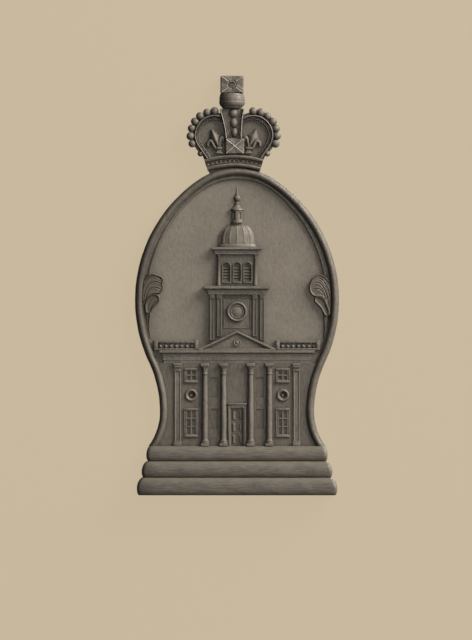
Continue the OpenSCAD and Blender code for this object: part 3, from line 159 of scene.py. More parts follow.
def addLamps():
    for name, lamp in lamps.items():
        data = bpy.data.lights.new(name, "AREA")
        data.energy, data.size, data.color = lamp["power"], lamp["size"] * mm, lamp["colour"]
        light = bpy.data.objects.new(name, data)
        light.location = row(*lamp["place"])
        light.rotation_euler = (-light.location).to_track_quat("-Z", "Y").to_euler()
        scene.collection.objects.link(light)
    world = bpy.data.worlds.new("studio")
    world.use_nodes = True
    tree = world.node_tree
    add, glow = nodeAdder(tree), tree.nodes["Background"]
    # The sky is weaker on the left, away from the key lamp, and the camera sees paper in its place
    across = add("SeparateXYZ", {0: add("TexCoord", output="Generated")})
    strength = add("MapRange", {"Value": across, "From Min": -1.0, **sky["strength"]})
    fill(tree, glow, {"Color": (*sky["colour"], 1), "Strength": strength})
    paper = add("Background", {"Color": (*stage["paper"], 1)})
    seen = add("LightPath", output="Is Camera Ray")
    mixed = add("MixShader", {0: seen, 1: glow.outputs[0], 2: paper})
    fill(tree, tree.nodes["World Output"], {"Surface": mixed})
    scene.world = world


scene.view_settings.view_transform = "Standard"
addCamera()
addStage()
addLamps()
print("stage: camera, wall, floor and lamps")


# Finishes: old lead with painted shade in its hollows and on the faces that look down and to the left, painted
# light on the faces opposite, a painted highlight broken like rubbed wear on its edges, and fine strokes

# The record's slot, three colours, the strokes' scale on each axis and strength, the reach in millimetres
# and darkness of the painted shade in hollows, the painted light on faces that look up and to the right, the
# painted highlight on edges, and roughness
finishKeys = ("slot", "dark", "body", "pale", "stroke", "strokeMix", "hollow", "deep", "rub", "edge", "rough")
finishes = {name: dict(zip(finishKeys, values)) for name, values in {
    "plateLead": ("plate_lead", (0.106, 0.092, 0.074), (0.202, 0.177, 0.142), (0.262, 0.231, 0.186),
                  (150, 90, 60), 0.34, 16.0, 0.6, 0.1, 0.35, 0.62),
    "rimLead": ("rim_lead", (0.054, 0.044, 0.035), (0.116, 0.100, 0.081), (0.260, 0.228, 0.182),
                (120, 90, 70), 0.35, 3.0, 0.3, 0.2, 0.5, 0.55),
    "leafLead": ("rim_lead", (0.068, 0.055, 0.043), (0.104, 0.088, 0.070), (0.230, 0.200, 0.158),
                 (120, 90, 70), 0.35, 2.0, 0.5, 0.2, 0.8, 0.58),
    "stepLead": ("step_lead", (0.052, 0.043, 0.034), (0.092, 0.079, 0.063), (0.190, 0.166, 0.134),
                 (30, 90, 320), 0.6, 1.2, 0.35, 0.85, 0.45, 0.58),
    "capLead": ("cap_lead", (0.062, 0.053, 0.043), (0.125, 0.109, 0.089), (0.190, 0.167, 0.137),
                (160, 100, 60), 0.5, 3.5, 0.8, 0.1, 0.4, 0.66),
    "crownLead": ("crown_lead", (0.050, 0.041, 0.034), (0.142, 0.124, 0.102), (0.300, 0.262, 0.212),
                  (140, 120, 110), 0.35, 2.2, 0.8, 0.2, 0.8, 0.60),
    # Pale lines that paint the highlight on the crown's thin ridges
    "rubbedLead": ("crown_lead", (0.230, 0.206, 0.172), (0.410, 0.372, 0.315), (0.470, 0.430, 0.370),
                   (140, 120, 110), 0.3, 1.0, 0.2, 0.1, 0.1, 0.50),
    "wallLead": ("hall_wall_lead", (0.048, 0.040, 0.032), (0.112, 0.097, 0.079), (0.200, 0.176, 0.142),
                 (320, 100, 50), 0.5, 3.5, 0.8, 0.1, 0.6, 0.63),
    "trimLead": ("hall_trim_lead", (0.050, 0.042, 0.034), (0.140, 0.122, 0.100), (0.290, 0.255, 0.205),
                 (180, 100, 110), 0.35, 2.6, 0.8, 0.2, 0.8, 0.55),
}.items()}
# Noises as scale, detail and roughness, and ramps as the ends of what they read and of what they give
grain = {"patches": (34, 5, 0.6), "fine": (950, 3, 0.65), "strokes": (4.0, 6, 0.72), "pits": (420, 2, 0.5),
         "patchMix": (0.3, 0.7, 0.0, 0.55), "paleStroke": (0.42, 0.72), "darkStroke": (0.45, 0.25),
         # The edge entries set the painted highlight on edges, broken up like rubbed wear
         "speckMix": (0.58, 0.75, 0.0, 0.45), "edgeRadius": 0.35, "edgeTurn": (0.995, 0.86),
         "edgeWear": (0.3, 0.6, 0.35, 1.0), "openness": (0.25, 0.92), "hollowTone": 0.55,
         # The next entries paint shade on the faces that look down and to the left and along the left edge, and
         # light on the faces opposite
         "sheltered": (-0.80, 0.0, -0.60), "sootMix": (0.06, 0.95, 0.0, 0.95), "sootTone": 0.6,
         "leftEdge": (-0.052, -0.064, 0.0, 0.85), "rubTurn": (-0.12, -0.7), "metal": 0.25,
         "roughTurn": (0.3, 0.7), "roughSpread": (0.1, -0.08), "strokeRelief": 0.9,
         "pitRelief": (0.30, 0.42, -0.9, 0.0), "bumpStrength": 0.55, "bumpDepth": 0.12}


def leadMaterial(name, finish):
    material = bpy.data.materials.new(name)
    material.use_nodes = True
    tree = material.node_tree
    add = nodeAdder(tree)
    dark, body, pale = ((*finish[key], 1) for key in ("dark", "body", "pale"))

    def noise(place, scale, detail, roughness):
        return add("TexNoise", {"Vector": place, "Scale": scale, "Detail": detail, "Roughness": roughness})

    def ramp(value, *ends):
        return add("MapRange", enumerate((value, *ends)))

    def math(operation, a, b):
        return add("Math", {0: a, 1: b}, operation=operation)

    def dot(a, b):
        return add("VectorMath", {0: a, 1: b}, "Value", operation="DOT_PRODUCT")

    def blend(colour, factor, over):
        return add("Mix", {0: factor, 6: colour, 7: over}, 2, data_type="RGBA")

    def toned(colour, tone):
        return (*(tone * c for c in colour[:3]), 1)

    place = add("TexCoord", output="Object")
    normal = add("NewGeometry", output="Normal")
    patches, fine, pits = (noise(place, *grain[key]) for key in ("patches", "fine", "pits"))
    strokes = noise(add("Mapping", {"Vector": place, "Scale": finish["stroke"]}), *grain["strokes"])
    # Soft patches, then strokes and specks
    colour = blend(body, ramp(patches, *grain["patchMix"]), dark)
    colour = blend(colour, ramp(strokes, *grain["paleStroke"], 0.0, finish["strokeMix"]), pale)
    colour = blend(colour, ramp(strokes, *grain["darkStroke"], 0.0, finish["strokeMix"]), dark)
    colour = blend(colour, ramp(fine, *grain["speckMix"]), pale)
    # Painted highlight on edges, where a rounded normal leaves the true one, broken up by pits like rubbed wear
    rounded = add("Bevel", {"Radius": grain["edgeRadius"] * mm}, samples=6)
    edge = ramp(dot(rounded, normal), *grain["edgeTurn"], 0.0, finish["edge"])
    colour = blend(colour, math("MULTIPLY", edge, ramp(pits, *grain["edgeWear"])), pale)
    # Painted shade where other surfaces are near, in the hollows and round raised parts
    hollow = add("AmbientOcclusion", {"Distance": finish["hollow"] * mm}, "AO", samples=8)
    deep = ramp(hollow, *grain["openness"], finish["deep"], 0.0)
    colour = blend(colour, deep, toned(dark, grain["hollowTone"]))
    # Painted shade on the faces that look down and to the left and along the left edge
    away = dot(normal, grain["sheltered"])
    colour = blend(colour, ramp(away, *grain["sootMix"]), toned(dark, grain["sootTone"]))
    colour = blend(colour, ramp(add("SeparateXYZ", {0: place}), *grain["leftEdge"]), dark)
    # Painted light: paler colour on the faces opposite, that look up and to the right
    colour = blend(colour, ramp(away, *grain["rubTurn"], 0.0, finish["rub"]), pale)
    # Relief: fine strokes, cast grain and small pits
    surface = math("ADD", math("MULTIPLY", strokes, grain["strokeRelief"]), fine)
    surface = math("ADD", surface, ramp(pits, *grain["pitRelief"]))
    bump = add("Bump", {"Strength": grain["bumpStrength"], "Distance": grain["bumpDepth"] * mm,
                        "Height": surface})
    rough = ramp(strokes, *grain["roughTurn"], *(finish["rough"] + d for d in grain["roughSpread"]))
    fill(tree, tree.nodes["Principled BSDF"],
         {"Base Color": colour, "Metallic": grain["metal"], "Roughness": rough, "Normal": bump})
    return material


materials = {name: leadMaterial(name, finish) for name, finish in finishes.items()}
print("finishes:", ", ".join(materials))


# Shells: closed surfaces as (points, four-sided faces, many-sided faces)

skin = {"sunk": 0.02, "blade": 0.05, "least": 0.02}


def gridShell(points, ring=False):
    # Closed rows of points joined row to row: a tube shut at both ends, or a ring that closes on itself
    n, m = points.shape[:2]
    index = np.arange(n * m).reshape(n, m)
    here, after = (index, np.roll(index, -1, 0)) if ring else (index[:-1], index[1:])
    quads = np.stack([here, after, np.roll(after, -1, 1), np.roll(here, -1, 1)], -1)
    ends = [] if ring else [index[0].tolist(), index[-1][::-1].tolist()]
    return points.reshape(-1, 3), quads.reshape(-1, 4), ends


def tileShell(x, z, out, base):
    # A height field over any grid of places, with a skirt down to a flat back
    n, m = x.shape
    front = np.stack([x, z, out], -1).reshape(-1, 3)
    index = np.arange(n * m).reshape(n, m)
    edge = np.concatenate([index[0, :-1], index[:-1, -1], index[-1, :0:-1], index[:0:-1, 0]])
    back = front[edge].copy()
    back[:, 2] = base
    under = n * m + np.arange(len(edge))
    quads = np.stack([index[:-1, :-1], index[1:, :-1], index[1:, 1:], index[:-1, 1:]], -1).reshape(-1, 4)
    skirt = np.stack([edge, np.roll(edge, -1), np.roll(under, -1), under], -1)
    return np.concatenate([front, back]), np.concatenate([quads, skirt]), [under.tolist()]


def turnedShell(x, z, base, profile, count=40, depth=1.0, carve=0.0):
    # The front half of a profile turned about an upright axis, closed by a flat back.
    # A carving is a share of the radius, for each row of the profile and each angle.
    radius, up = np.asarray(profile, float).T[..., None]
    turn = np.linspace(0, np.pi, count)
    r = np.maximum(radius, skin["least"]) * (1 + carve)
    return gridShell(np.stack([x + r * np.cos(turn), z + up + 0 * turn, base + depth * r * np.sin(turn)], -1))


def pegShell(x, z, profile, count=24, ring=False):
    # A profile of radius and distance from the wall, turned about an axis that comes out of the wall
    radius, out = np.asarray(profile, float).T[..., None]
    turn = np.linspace(0, 2 * np.pi, count, endpoint=False)
    r = np.maximum(radius, skin["least"])
    return gridShell(np.stack([x + r * np.cos(turn), z + r * np.sin(turn), out + 0 * turn], -1), ring)


def ballShell(x, z, out, r, flat=1.0, count=20):
    return pegShell(x, z, arc(0, out, (r, flat * r), -90, 90, count // 2 + 2), count)


def insetLoop(loop, inset):
    # Each corner moves inwards along its mitre, so that every side moves by the same distance
    loop = np.asarray(loop, float)
    before, after = np.roll(loop, 1, 0), np.roll(loop, -1, 0)
    a = (loop - before) / np.linalg.norm(loop - before, axis=1)[:, None]
    b = (after - loop) / np.linalg.norm(after - loop, axis=1)[:, None]
    left = lambda d: np.stack([-d[:, 1], d[:, 0]], -1)
    mitre = left(a) + left(b)
    mitre = mitre / np.maximum((mitre * left(a)).sum(1), 0.3)[:, None]
    return loop + inset * mitre


def slabShell(loop, base, top, soft=0.25, steps=3):
    # An outline that goes counter-clockwise, raised from base to top with a rounded front edge
    turn = np.linspace(0, np.pi / 2, steps + 1)
    insets = np.concatenate([[0], soft * (1 - np.cos(turn))])
    levels = np.concatenate([[base], top - soft + soft * np.sin(turn)])
    return gridShell(np.stack([np.insert(insetLoop(loop, i), 2, out, 1) for i, out in zip(insets, levels)]))


def boxLoop(x0, x1, z0, z1):
    return [(x0, z0), (x1, z0), (x1, z1), (x0, z1)]


def blocks(x, z, base, level, rows):
    # Boxes about an upright middle line, each row its half width, lower and upper edge, rise and edge round
    return [slabShell(boxLoop(x - half, x + half, z + low, z + high), base, level + rise, soft)
            for half, low, high, rise, soft in rows]


def barShell(line, profile, level=0.0, ring=False):
    # A closed profile of inset and rise, carried along a line, or round a ring, worked out for each inset
    return gridShell(np.stack([np.insert(line(u), 2, level + rise, 1) for u, rise in profile], 1), ring)


def frameShell(loop, level, profile):
    return barShell(lambda u: insetLoop(loop, u), profile, level, True)


def bladeShell(path, width, rise, base, section, count=17):
    # A ridge along a path; section gives its height across, from -1 to 1, and along, from 0 to 1
    path = np.asarray(path, float)
    n = len(path)
    t = np.linspace(0, 1, n)
    tangent = np.gradient(path, axis=0)
    side = np.stack([-tangent[:, 1], tangent[:, 0]], -1) / np.linalg.norm(tangent, axis=1)[:, None]
    s = np.linspace(-1, 1, count)
    half = np.broadcast_to(width, n)[:, None] / 2
    xz = path[:, None] + side[:, None] * (half * s)[..., None]
    out = base + skin["blade"] + np.broadcast_to(rise, n)[:, None] * section(s[None], t[:, None])
    front = np.concatenate([xz, out[..., None]], -1)
    back = front[:, [-1, 0]].copy()
    back[..., 2] = base
    return gridShell(np.concatenate([front, back], 1))


def arc(x, z, r, a0, a1, count):
    # Between two angles, with one radius or, for an ellipse, a pair of them
    a = np.radians(np.linspace(a0, a1, count))
    return (x, z) + r * np.stack([np.cos(a), np.sin(a)], -1)


def bend(p, c, q, count):
    # A quadratic curve from p to q, drawn towards c
    t = np.linspace(0, 1, count)[:, None]
    p, c, q = (np.asarray(v, float) for v in (p, c, q))
    return (1 - t) ** 2 * p + 2 * t * (1 - t) * c + t ** 2 * q


def cutCorners(line, rounds, closed=False):
    # Every corner is cut at a quarter of its sides, a few times over
    line = np.asarray(line, float)
    for _ in range(rounds):
        here, after = (line, np.roll(line, -1, 0)) if closed else (line[:-1], line[1:])
        cut = np.stack([0.75 * here + 0.25 * after, 0.25 * here + 0.75 * after], 1).reshape(-1, 2)
        line = cut if closed else np.concatenate([line[:1], cut, line[-1:]])
    return line


def lineDistance(x, z, line):
    # From every place to the nearest point of a line of straight pieces
    a, d = line[:-1], np.diff(line, axis=0)
    p = np.stack([x, z], -1)[..., None, :] - a
    t = np.clip((p * d).sum(-1) / (d ** 2).sum(-1), 0, 1)
    return np.linalg.norm(p - t[..., None] * d, axis=-1).min(-1)


def hump(distance, half):
    # A soft ridge along a line
    return np.exp(-(distance / half) ** 2)


def roundOver(t):
    # A quarter circle's height, from nothing at 0 to 1 at 1 and beyond
    return np.sqrt(1 - (1 - np.clip(t, 0, 1)) ** 2)


def flatTop(s, t):
    # A blade's section with a broad top and steep sides
    return 1 - s ** 6


def plaqueShell(inner, outer, height, base, rows, ring=False):
    # A face between two outlines, its height a function of the place, with straight sides down to its base
    t = np.linspace(0, 1, rows)[:, None, None]
    xz = inner * (1 - t) + outer * t
    front = np.concatenate([xz, height(xz[..., 0], xz[..., 1], t[..., 0])[..., None]], -1)
    foot = front[[-1, 0]].copy()
    foot[..., 2] = base
    return gridShell(np.concatenate([front, foot if ring else foot[:1]]), ring)


def mirrored(shells):
    return [(p * (-1, 1, 1), q[:, ::-1], [e[::-1] for e in ends]) for p, q, ends in shells]


def moved(shells, x=0, z=0):
    return [(p + (x, z, 0), q, ends) for p, q, ends in shells]


def outward(shell):
    # Turns a shell right side out, by the sign of its volume
    points, quads, ends = shell
    a, b, c, d = (points[quads[:, k]] for k in range(4))
    volume = (np.cross(b - a, c - a) * a).sum() + (np.cross(c - a, d - a) * a).sum()
    for e in ends:
        p = points[e]
        volume += (np.cross(p[1:-1] - p[0], p[2:] - p[0]) * p[0]).sum()
    return (points, quads[:, ::-1], [e[::-1] for e in ends]) if volume < 0 else shell


wobble = {"across": 0.04, "up": 0.04, "out": 0.05, "above": 3.2}


def handMade(points):
    # Slow waves that take the drawn-with-a-ruler look off a casting; the flat back stays flat
    x, z = points[:, 0], points[:, 1]
    across = np.sin(0.37 * z + 0.9) + 0.6 * np.sin(0.83 * z + 0.21 * x)
    up = np.sin(0.41 * x + 2.1) + 0.6 * np.sin(0.77 * x - 0.19 * z)
    out = (np.sin(0.29 * x + 0.33 * z) + np.sin(0.61 * x - 0.47 * z + 1.7)) * (points[:, 2] > wobble["above"])
    return points + np.stack([wobble["across"] * across, wobble["up"] * up, wobble["out"] * out], -1)


def span(node):
    lo, hi = (np.array(v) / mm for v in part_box(node))
    return {"x": (lo[0] + hi[0]) / 2, "z": (lo[2] + hi[2]) / 2, "w": hi[0] - lo[0], "h": hi[2] - lo[2],
            "z0": lo[2], "z1": hi[2], "out": -lo[1]}


plate = span("back_plate")
plateTop = plate["out"]
wallTop = span("hall_wall")["out"]
plateSeat, wallSeat = plateTop - skin["sunk"], wallTop - skin["sunk"]
rivet = {"shaft": 1.2, "head": 2.0, "headDepth": 0.8, "reach": 4.2, "backFace": 0.05, "into": 0.3}


def rivetShells(node):
    # The studs' spread ends lie in the back face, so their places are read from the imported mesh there
    mesh = frame["nodes"][node].data
    points = np.zeros(len(mesh.vertices) * 3)
    mesh.vertices.foreach_get("co", points)
    points = points.reshape(-1, 3) / mm
    left = points[points[:, 1] > -rivet["backFace"]][:, [0, 2]]
    head, shaft, top = rivet["head"], rivet["shaft"], plateTop + rivet["into"]
    profile = [(0, 0.02), (head * 0.6, 0.0), (head * 0.92, 0.08), (head, 0.2), (shaft, rivet["headDepth"]),
               (shaft, top), (0, top)]
    shells = []
    while len(left):
        near = np.hypot(*(left - left[0]).T) < rivet["reach"]
        x, z = (left[near].min(0) + left[near].max(0)) / 2
        shells.append(pegShell(x, z, profile))
        left = left[~near]
    return shells


boxLow, boxHigh = (np.array(v) for v in cadBox)


def makePiece(node, shells, finish, edge=0.0, sharp=40.0, rivets=True, stands=True):
    # Joins shells into one mesh that rides the object's one body, in its node's stead where it stands for one
    if rivets and stands:
        shells = shells + rivetShells(node)
    points, faces, start = [], [], 0
    for p, quads, ends in map(outward, shells):
        points.append(p)
        faces += (quads + start).tolist() + [[start + k for k in e] for e in ends]
        start += len(p)
    points = handMade(np.concatenate(points))
    placed = np.stack([points[:, 0], -points[:, 2], points[:, 1]], -1) * mm
    name = node.title().replace("_", "")
    name = name[0].lower() + name[1:]
    mesh = bpy.data.meshes.new(name)
    mesh.from_pydata(np.clip(placed, boxLow, boxHigh), [], faces)
    mesh.polygons.foreach_set("use_smooth", np.ones(len(mesh.polygons), bool))
    mesh.set_sharp_from_angle(angle=np.radians(sharp))
    mesh.materials.append(materials[finish])
    piece = bpy.data.objects.new(name, mesh)
    scene.collection.objects.link(piece)
    if edge:
        bevel = piece.modifiers.new("softEdges", "BEVEL")
        bevel.width, bevel.segments = edge * mm, 2
        bevel.limit_method, bevel.angle_limit = "ANGLE", np.radians(38)
    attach(piece, "root")
    if stands:
        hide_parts(node)


# The oval's rim, in three lengths that meet at the widest points and run down to the steps

rim = {"width": 142.6, "sideRadius": 102.0, "crestRadius": 47.7, "waistWidth": 107.8, "waistHeight": 58.0,
       "footRadius": 40.0, "roll": 5.5, "rollOut": 5.2, "edgeOut": 1.4, "webOut": 1.9, "webSink": 0.35,
       "beadSide": 8.2, "beadTop": 7.0, "beadRadius": 43.0, "beadEnd": 17.0, "beadWidth": 1.7, "beadOut": 2.4,
       "arcPoints": 90, "sidePoints": 50}
stepTop = span("upper_step")["z1"]
sideX = rim["width"] / 2 - rim["sideRadius"]
crestZ = np.sqrt((rim["sideRadius"] - rim["crestRadius"]) ** 2 - sideX ** 2)
crestAngle = np.degrees(np.arctan2(crestZ, -sideX))
crestTop = crestZ + rim["crestRadius"]
waistZ = plate["z0"] + rim["waistHeight"]
waistReach = rim["waistWidth"] / 2 - sideX
waistRadius = (waistReach ** 2 + waistZ ** 2 - rim["sideRadius"] ** 2) / (2 * (rim["sideRadius"] - waistReach))
waistX = rim["waistWidth"] / 2 + waistRadius
waistAngle = np.degrees(np.arctan2(-waistZ, waistX - sideX))
beadHalf = rim["width"] / 2 - rim["beadSide"]
beadZ = crestTop - rim["beadTop"] - rim["beadRadius"]
beadSideRadius = (beadHalf ** 2 + beadZ ** 2 - rim["beadRadius"] ** 2) / (2 * (beadHalf - rim["beadRadius"]))
beadX = beadHalf - beadSideRadius
beadAngle = np.degrees(np.arctan2(beadZ, -beadX))


def overTop(x, sideRadius, z, topRadius, start, turn):
    # A side arc, an arc over the top and the side arc's mirror image
    side = arc(x, 0, sideRadius, start, turn, rim["arcPoints"])
    top = arc(0, z, topRadius, turn, 180 - turn, rim["arcPoints"])
    return np.concatenate([side, top[1:], (side * (-1, 1))[-2::-1]])


def archLine(inset):
    return overTop(sideX, rim["sideRadius"] - inset, crestZ, rim["crestRadius"] - inset, 0, crestAngle)


def beadLine(inset):
    start = np.degrees(np.arcsin(rim["beadEnd"] / beadSideRadius))
    return overTop(beadX, beadSideRadius - inset, beadZ, rim["beadRadius"] - inset, start, beadAngle)


def sideLine(inset):
    # The outline from the widest point on the right down to the steps, less an inset
    foot, count = rim["footRadius"] + inset, rim["sidePoints"]
    stop = 180 + np.degrees(np.arcsin((waistZ - stepTop) / foot))
    return np.concatenate([
        arc(sideX, 0, rim["sideRadius"] - inset, 0, -waistAngle, count),
        arc(waistX, waistZ, waistRadius + inset, 180 - waistAngle, 180, count)[1:],
        arc(rim["waistWidth"] / 2 + rim["footRadius"], waistZ, foot, 180, stop, count)[1:]])


def roundProfile(inset, width, edgeOut, topOut, count):
    roll = arc(inset + width / 2, plateTop + edgeOut, (width / 2, topOut - edgeOut), 180, 0, count)
    return [(inset, plateSeat), *roll, (inset + width, plateSeat)]


def webShell():
    # The flat strip between the roll and the bead, a little hollow
    inner, outer = beadLine(0), archLine(rim["roll"] - 0.6)
    outer = outer[outer[:, 1] >= rim["beadEnd"]]
    pick, whole = np.linspace(0, len(outer) - 1, len(inner)), np.arange(len(outer))
    outer = np.stack([np.interp(pick, whole, outer[:, k]) for k in (0, 1)], -1)
    s = np.linspace(0, 1, 7)
    xz = outer[:, None] * (1 - s)[:, None] + inner[:, None] * s[:, None]
    level = plateTop + rim["webOut"] - rim["webSink"] * np.sin(np.pi * s) + 0 * xz[..., 0]
    return tileShell(xz[..., 0], xz[..., 1], level, plateSeat)


rimProfile = roundProfile(0, rim["roll"], rim["edgeOut"], rim["rollOut"], 18)
filletProfile = roundProfile(rim["roll"] - 0.5, 1.5, 0.2, 1.1, 10)
beadProfile = roundProfile(-rim["beadWidth"] / 2, rim["beadWidth"], rim["webOut"], rim["beadOut"], 12)
overShells = [barShell(archLine, rimProfile), barShell(beadLine, beadProfile), webShell()]
makePiece("arch_moulding", overShells, "rimLead")
sideShells = [barShell(sideLine, rimProfile), barShell(sideLine, filletProfile)]
makePiece("right_side_moulding", sideShells, "rimLead")
makePiece("left_side_moulding", mirrored(sideShells), "rimLead")
print("rim: roll, bead and fillets")


# The three steps, each with a full round nose that also turns round its ends

step = {"belly": 0.36, "round": 4.5, "under": 1.6, "corner": 2.6, "endRound": {"upper_step": 2.4}}


def stepShell(node):
    # Rows of height, each a plan with its own insets: a quarter ellipse over the belly, a tight round under it
    box, belly, corner = span(node), step["belly"], step["corner"]
    low, high = np.radians(np.linspace(0, 90, 8)[:-1]), np.radians(np.linspace(0, 90, 16))
    under, over = step["under"] * (1 - np.sin(low)), 1 - np.cos(high)
    side = np.concatenate([under, step["endRound"].get(node, step["round"]) * over])[:, None]
    front = np.concatenate([under, step["round"] * over])[:, None]
    level = np.concatenate([belly * (1 - np.cos(low)), belly + (1 - belly) * np.sin(high)])[:, None]
    turn = np.radians(np.linspace(0, 90, 10))
    edge = box["w"] / 2 - side - corner
    across = np.linspace(1, -1, 62)[1:-1]
    x = np.concatenate([edge + corner * np.append(1, np.cos(turn)), edge * across,
                        -edge - corner * np.append(np.sin(turn), 1)], 1)
    out = corner * (np.concatenate([np.sin(turn), np.ones(len(across)), np.cos(turn)]) - 1)
    out = np.pad(box["out"] - front + out, ((0, 0), (1, 1)), constant_values=plateSeat)
    return gridShell(np.stack([x, box["z0"] + box["h"] * level + 0 * x, out], -1))


for node in ("lower_step", "middle_step", "upper_step"):
    makePiece(node, [stepShell(node)], "stepLead")
print("steps: three, with round noses")


# The leaves: a broad lobe with a wavy edge over a smaller cupped one, and a long tail

leaf = {"out": 3.7, "foot": 0.3, "lip": 0.5, "lipIn": 0.65, "round": 0.6, "groove": 0.3, "bank": 0.7,
        "rootZ": -4.0, "tailZ": -26.9, "tailLean": 3.4}
# Outlines and grooves as x and z, each outline about a middle place; the left leaf's are mirrored
leafLobes = {
    "left": [
        {"about": (60.6, 9.8), "level": 2.7, "lipRise": 0.7, "depth": 0.3,
         "outline": [(68, 7.6), (68, 11.5), (65.4, 14.2), (62.9, 16.5), (60.8, 18.2), (58.4, 18.9),
                     (56.2, 18), (54.4, 17.6), (52, 16.4), (50.8, 13.6), (51.6, 11.2), (51, 9.4), (51.6, 7),
                     (53, 5.2), (55.2, 4.5), (57.4, 4.6), (59.6, 3.6), (61.8, 2), (63.8, -0.6), (65.2, -5),
                     (68, -5), (68, 2)],
         "grooves": [[(65.8, 8.1), (64.4, 12.6), (61.8, 15.8), (59, 17.2), (56, 16.4), (53.6, 14.6)],
                     [(65.3, 2.6), (63.8, 8.1), (61.8, 11.1), (58.8, 12.9), (55.8, 12.7), (52.9, 11.4)],
                     [(64.1, 1.1), (62.8, 5.1), (61, 7.7), (58.5, 9), (56, 8.7), (53.3, 7.2)]]},
        {"about": (59.3, -0.4), "level": 2.1, "lipRise": 1.2, "depth": 0.25,
         "outline": [(64.6, -5.4), (64.3, -1.9), (63.1, 0.8), (61.5, 2.9), (59.5, 4.2), (57.3, 4.7),
                     (55.1, 4), (53.9, 1.9), (53.8, -0.3), (54.9, -2.1), (56.8, -3.9), (58.5, -6.1),
                     (59.8, -8.6), (61.8, -9.8), (63.8, -9)],
         "grooves": [[(62.6, -7), (61.8, -3), (59.6, 0.6), (56.8, 2.3)],
                     [(61.2, -7.4), (59.7, -3.4), (57, -0.6)]]},
    ],
    "right": [
        {"about": (59.6, 8.6), "level": 2.6, "lipRise": 0.6, "depth": 0.3,
         "outline": [(68, 7.6), (68, 11), (65, 13), (63, 15.2), (60.6, 17.4), (57.4, 18.4), (54.2, 17),
                     (51.8, 14), (50.3, 10.4), (50.4, 7.2), (51.8, 4), (53.8, 2.2), (57.6, 2.6),
                     (60.4, 1.4), (61.9, -2.6), (63.5, -8), (65.4, -14), (68, -14), (68, 2)],
         "grooves": [[(65.6, -7), (65, 1.5), (62.9, 9.4), (59.6, 14.4), (56.6, 15.2)],
                     [(64, -4.6), (62.7, 3.2), (60.2, 9.4), (56.9, 12.6), (53.6, 12)],
                     [(62.4, 0), (60.4, 5.2), (57.2, 8), (53.4, 7.6)]]},
        {"about": (59.2, -1.6), "level": 2.0, "lipRise": 1.3, "depth": 0.3,
         "outline": [(65.2, -8.4), (63.6, -3.4), (61.8, 0.2), (59.6, 2.6), (57, 3.7), (54.8, 3), (53.6, 1),
                     (54.2, -1.2), (56.4, -3.6), (58.9, -6.2), (60.6, -10), (62.4, -11.6), (64.4, -11)],
         "grooves": [[(63.2, -8.4), (61.2, -3.2), (58.4, 0.2), (55.6, 1)]]},
    ],
}


def edgeX(z, inset):
    # Half of the mark's width at a height, less an inset
    joinZ = -(rim["sideRadius"] - inset) * np.sin(np.radians(waistAngle))
    low = np.sqrt(np.maximum((waistRadius + inset) ** 2 - (z - waistZ) ** 2, 0))
    high = np.sqrt(np.maximum((rim["sideRadius"] - inset) ** 2 - z ** 2, 0))
    return np.where(z < joinZ, waistX - low, sideX + high)


def leafShells(side):
    shells = []
    for lobe in leafLobes[side]:
        outline = cutCorners(lobe["outline"], 3, True)
        grooves = [cutCorners(line, 3) for line in lobe["grooves"]]

        def height(x, z, t):
            # Level inside, a raised lip along the outline, grooves that run with the lobe, and a round edge
            inset = lineDistance(x, z, np.concatenate([outline, outline[:1]]))
            h = lobe["level"] + lobe["lipRise"] * hump(inset - leaf["lipIn"], leaf["lip"])
            for line in grooves:
                away = lineDistance(x, z, line)
                bank, valley = (hump(away - place, leaf["groove"]) for place in (leaf["bank"], 0))
                h += lobe["depth"] * (0.5 * bank - valley)
            return plateTop + leaf["foot"] + np.minimum(h, leaf["out"]) * (
                0.25 + 0.75 * roundOver(inset / leaf["round"]))

        middle = lobe["about"] + 0.001 * (outline - lobe["about"])
        points, quads, ends = plaqueShell(middle, outline, height, plateTop, 56)
        points[:, 0] = np.minimum(points[:, 0], edgeX(points[:, 1], rim["roll"] + 0.1))
        shells.append((points, quads, ends))
    u = np.linspace(0, 1, 60)
    z = np.linspace(leaf["rootZ"], leaf["tailZ"], 60)
    x = edgeX(z, rim["roll"] + 0.1) - leaf["tailLean"] * (1 - u) ** 1.4 - 1
    taper = np.minimum(1, 5 * u + 0.1) * (1 - u)
    tail = lambda s, t: flatTop(s, t) * (0.6 + 0.4 * hump(s + 0.55, 0.3))
    return shells + [bladeShell(np.stack([x, z], -1), 1.4 + 3.8 * taper, 1.3 + (leaf["out"] - 2.2) * taper,
                                plateTop, tail)]


makePiece("right_leaf", leafShells("right"), "leafLead", sharp=55)
makePiece("left_leaf", mirrored(leafShells("left")), "leafLead", sharp=55)
print("leaves: two, with lobes and tails")


# The crown: band, arches with pearls, front arch, cross blocks, orb and fleurs

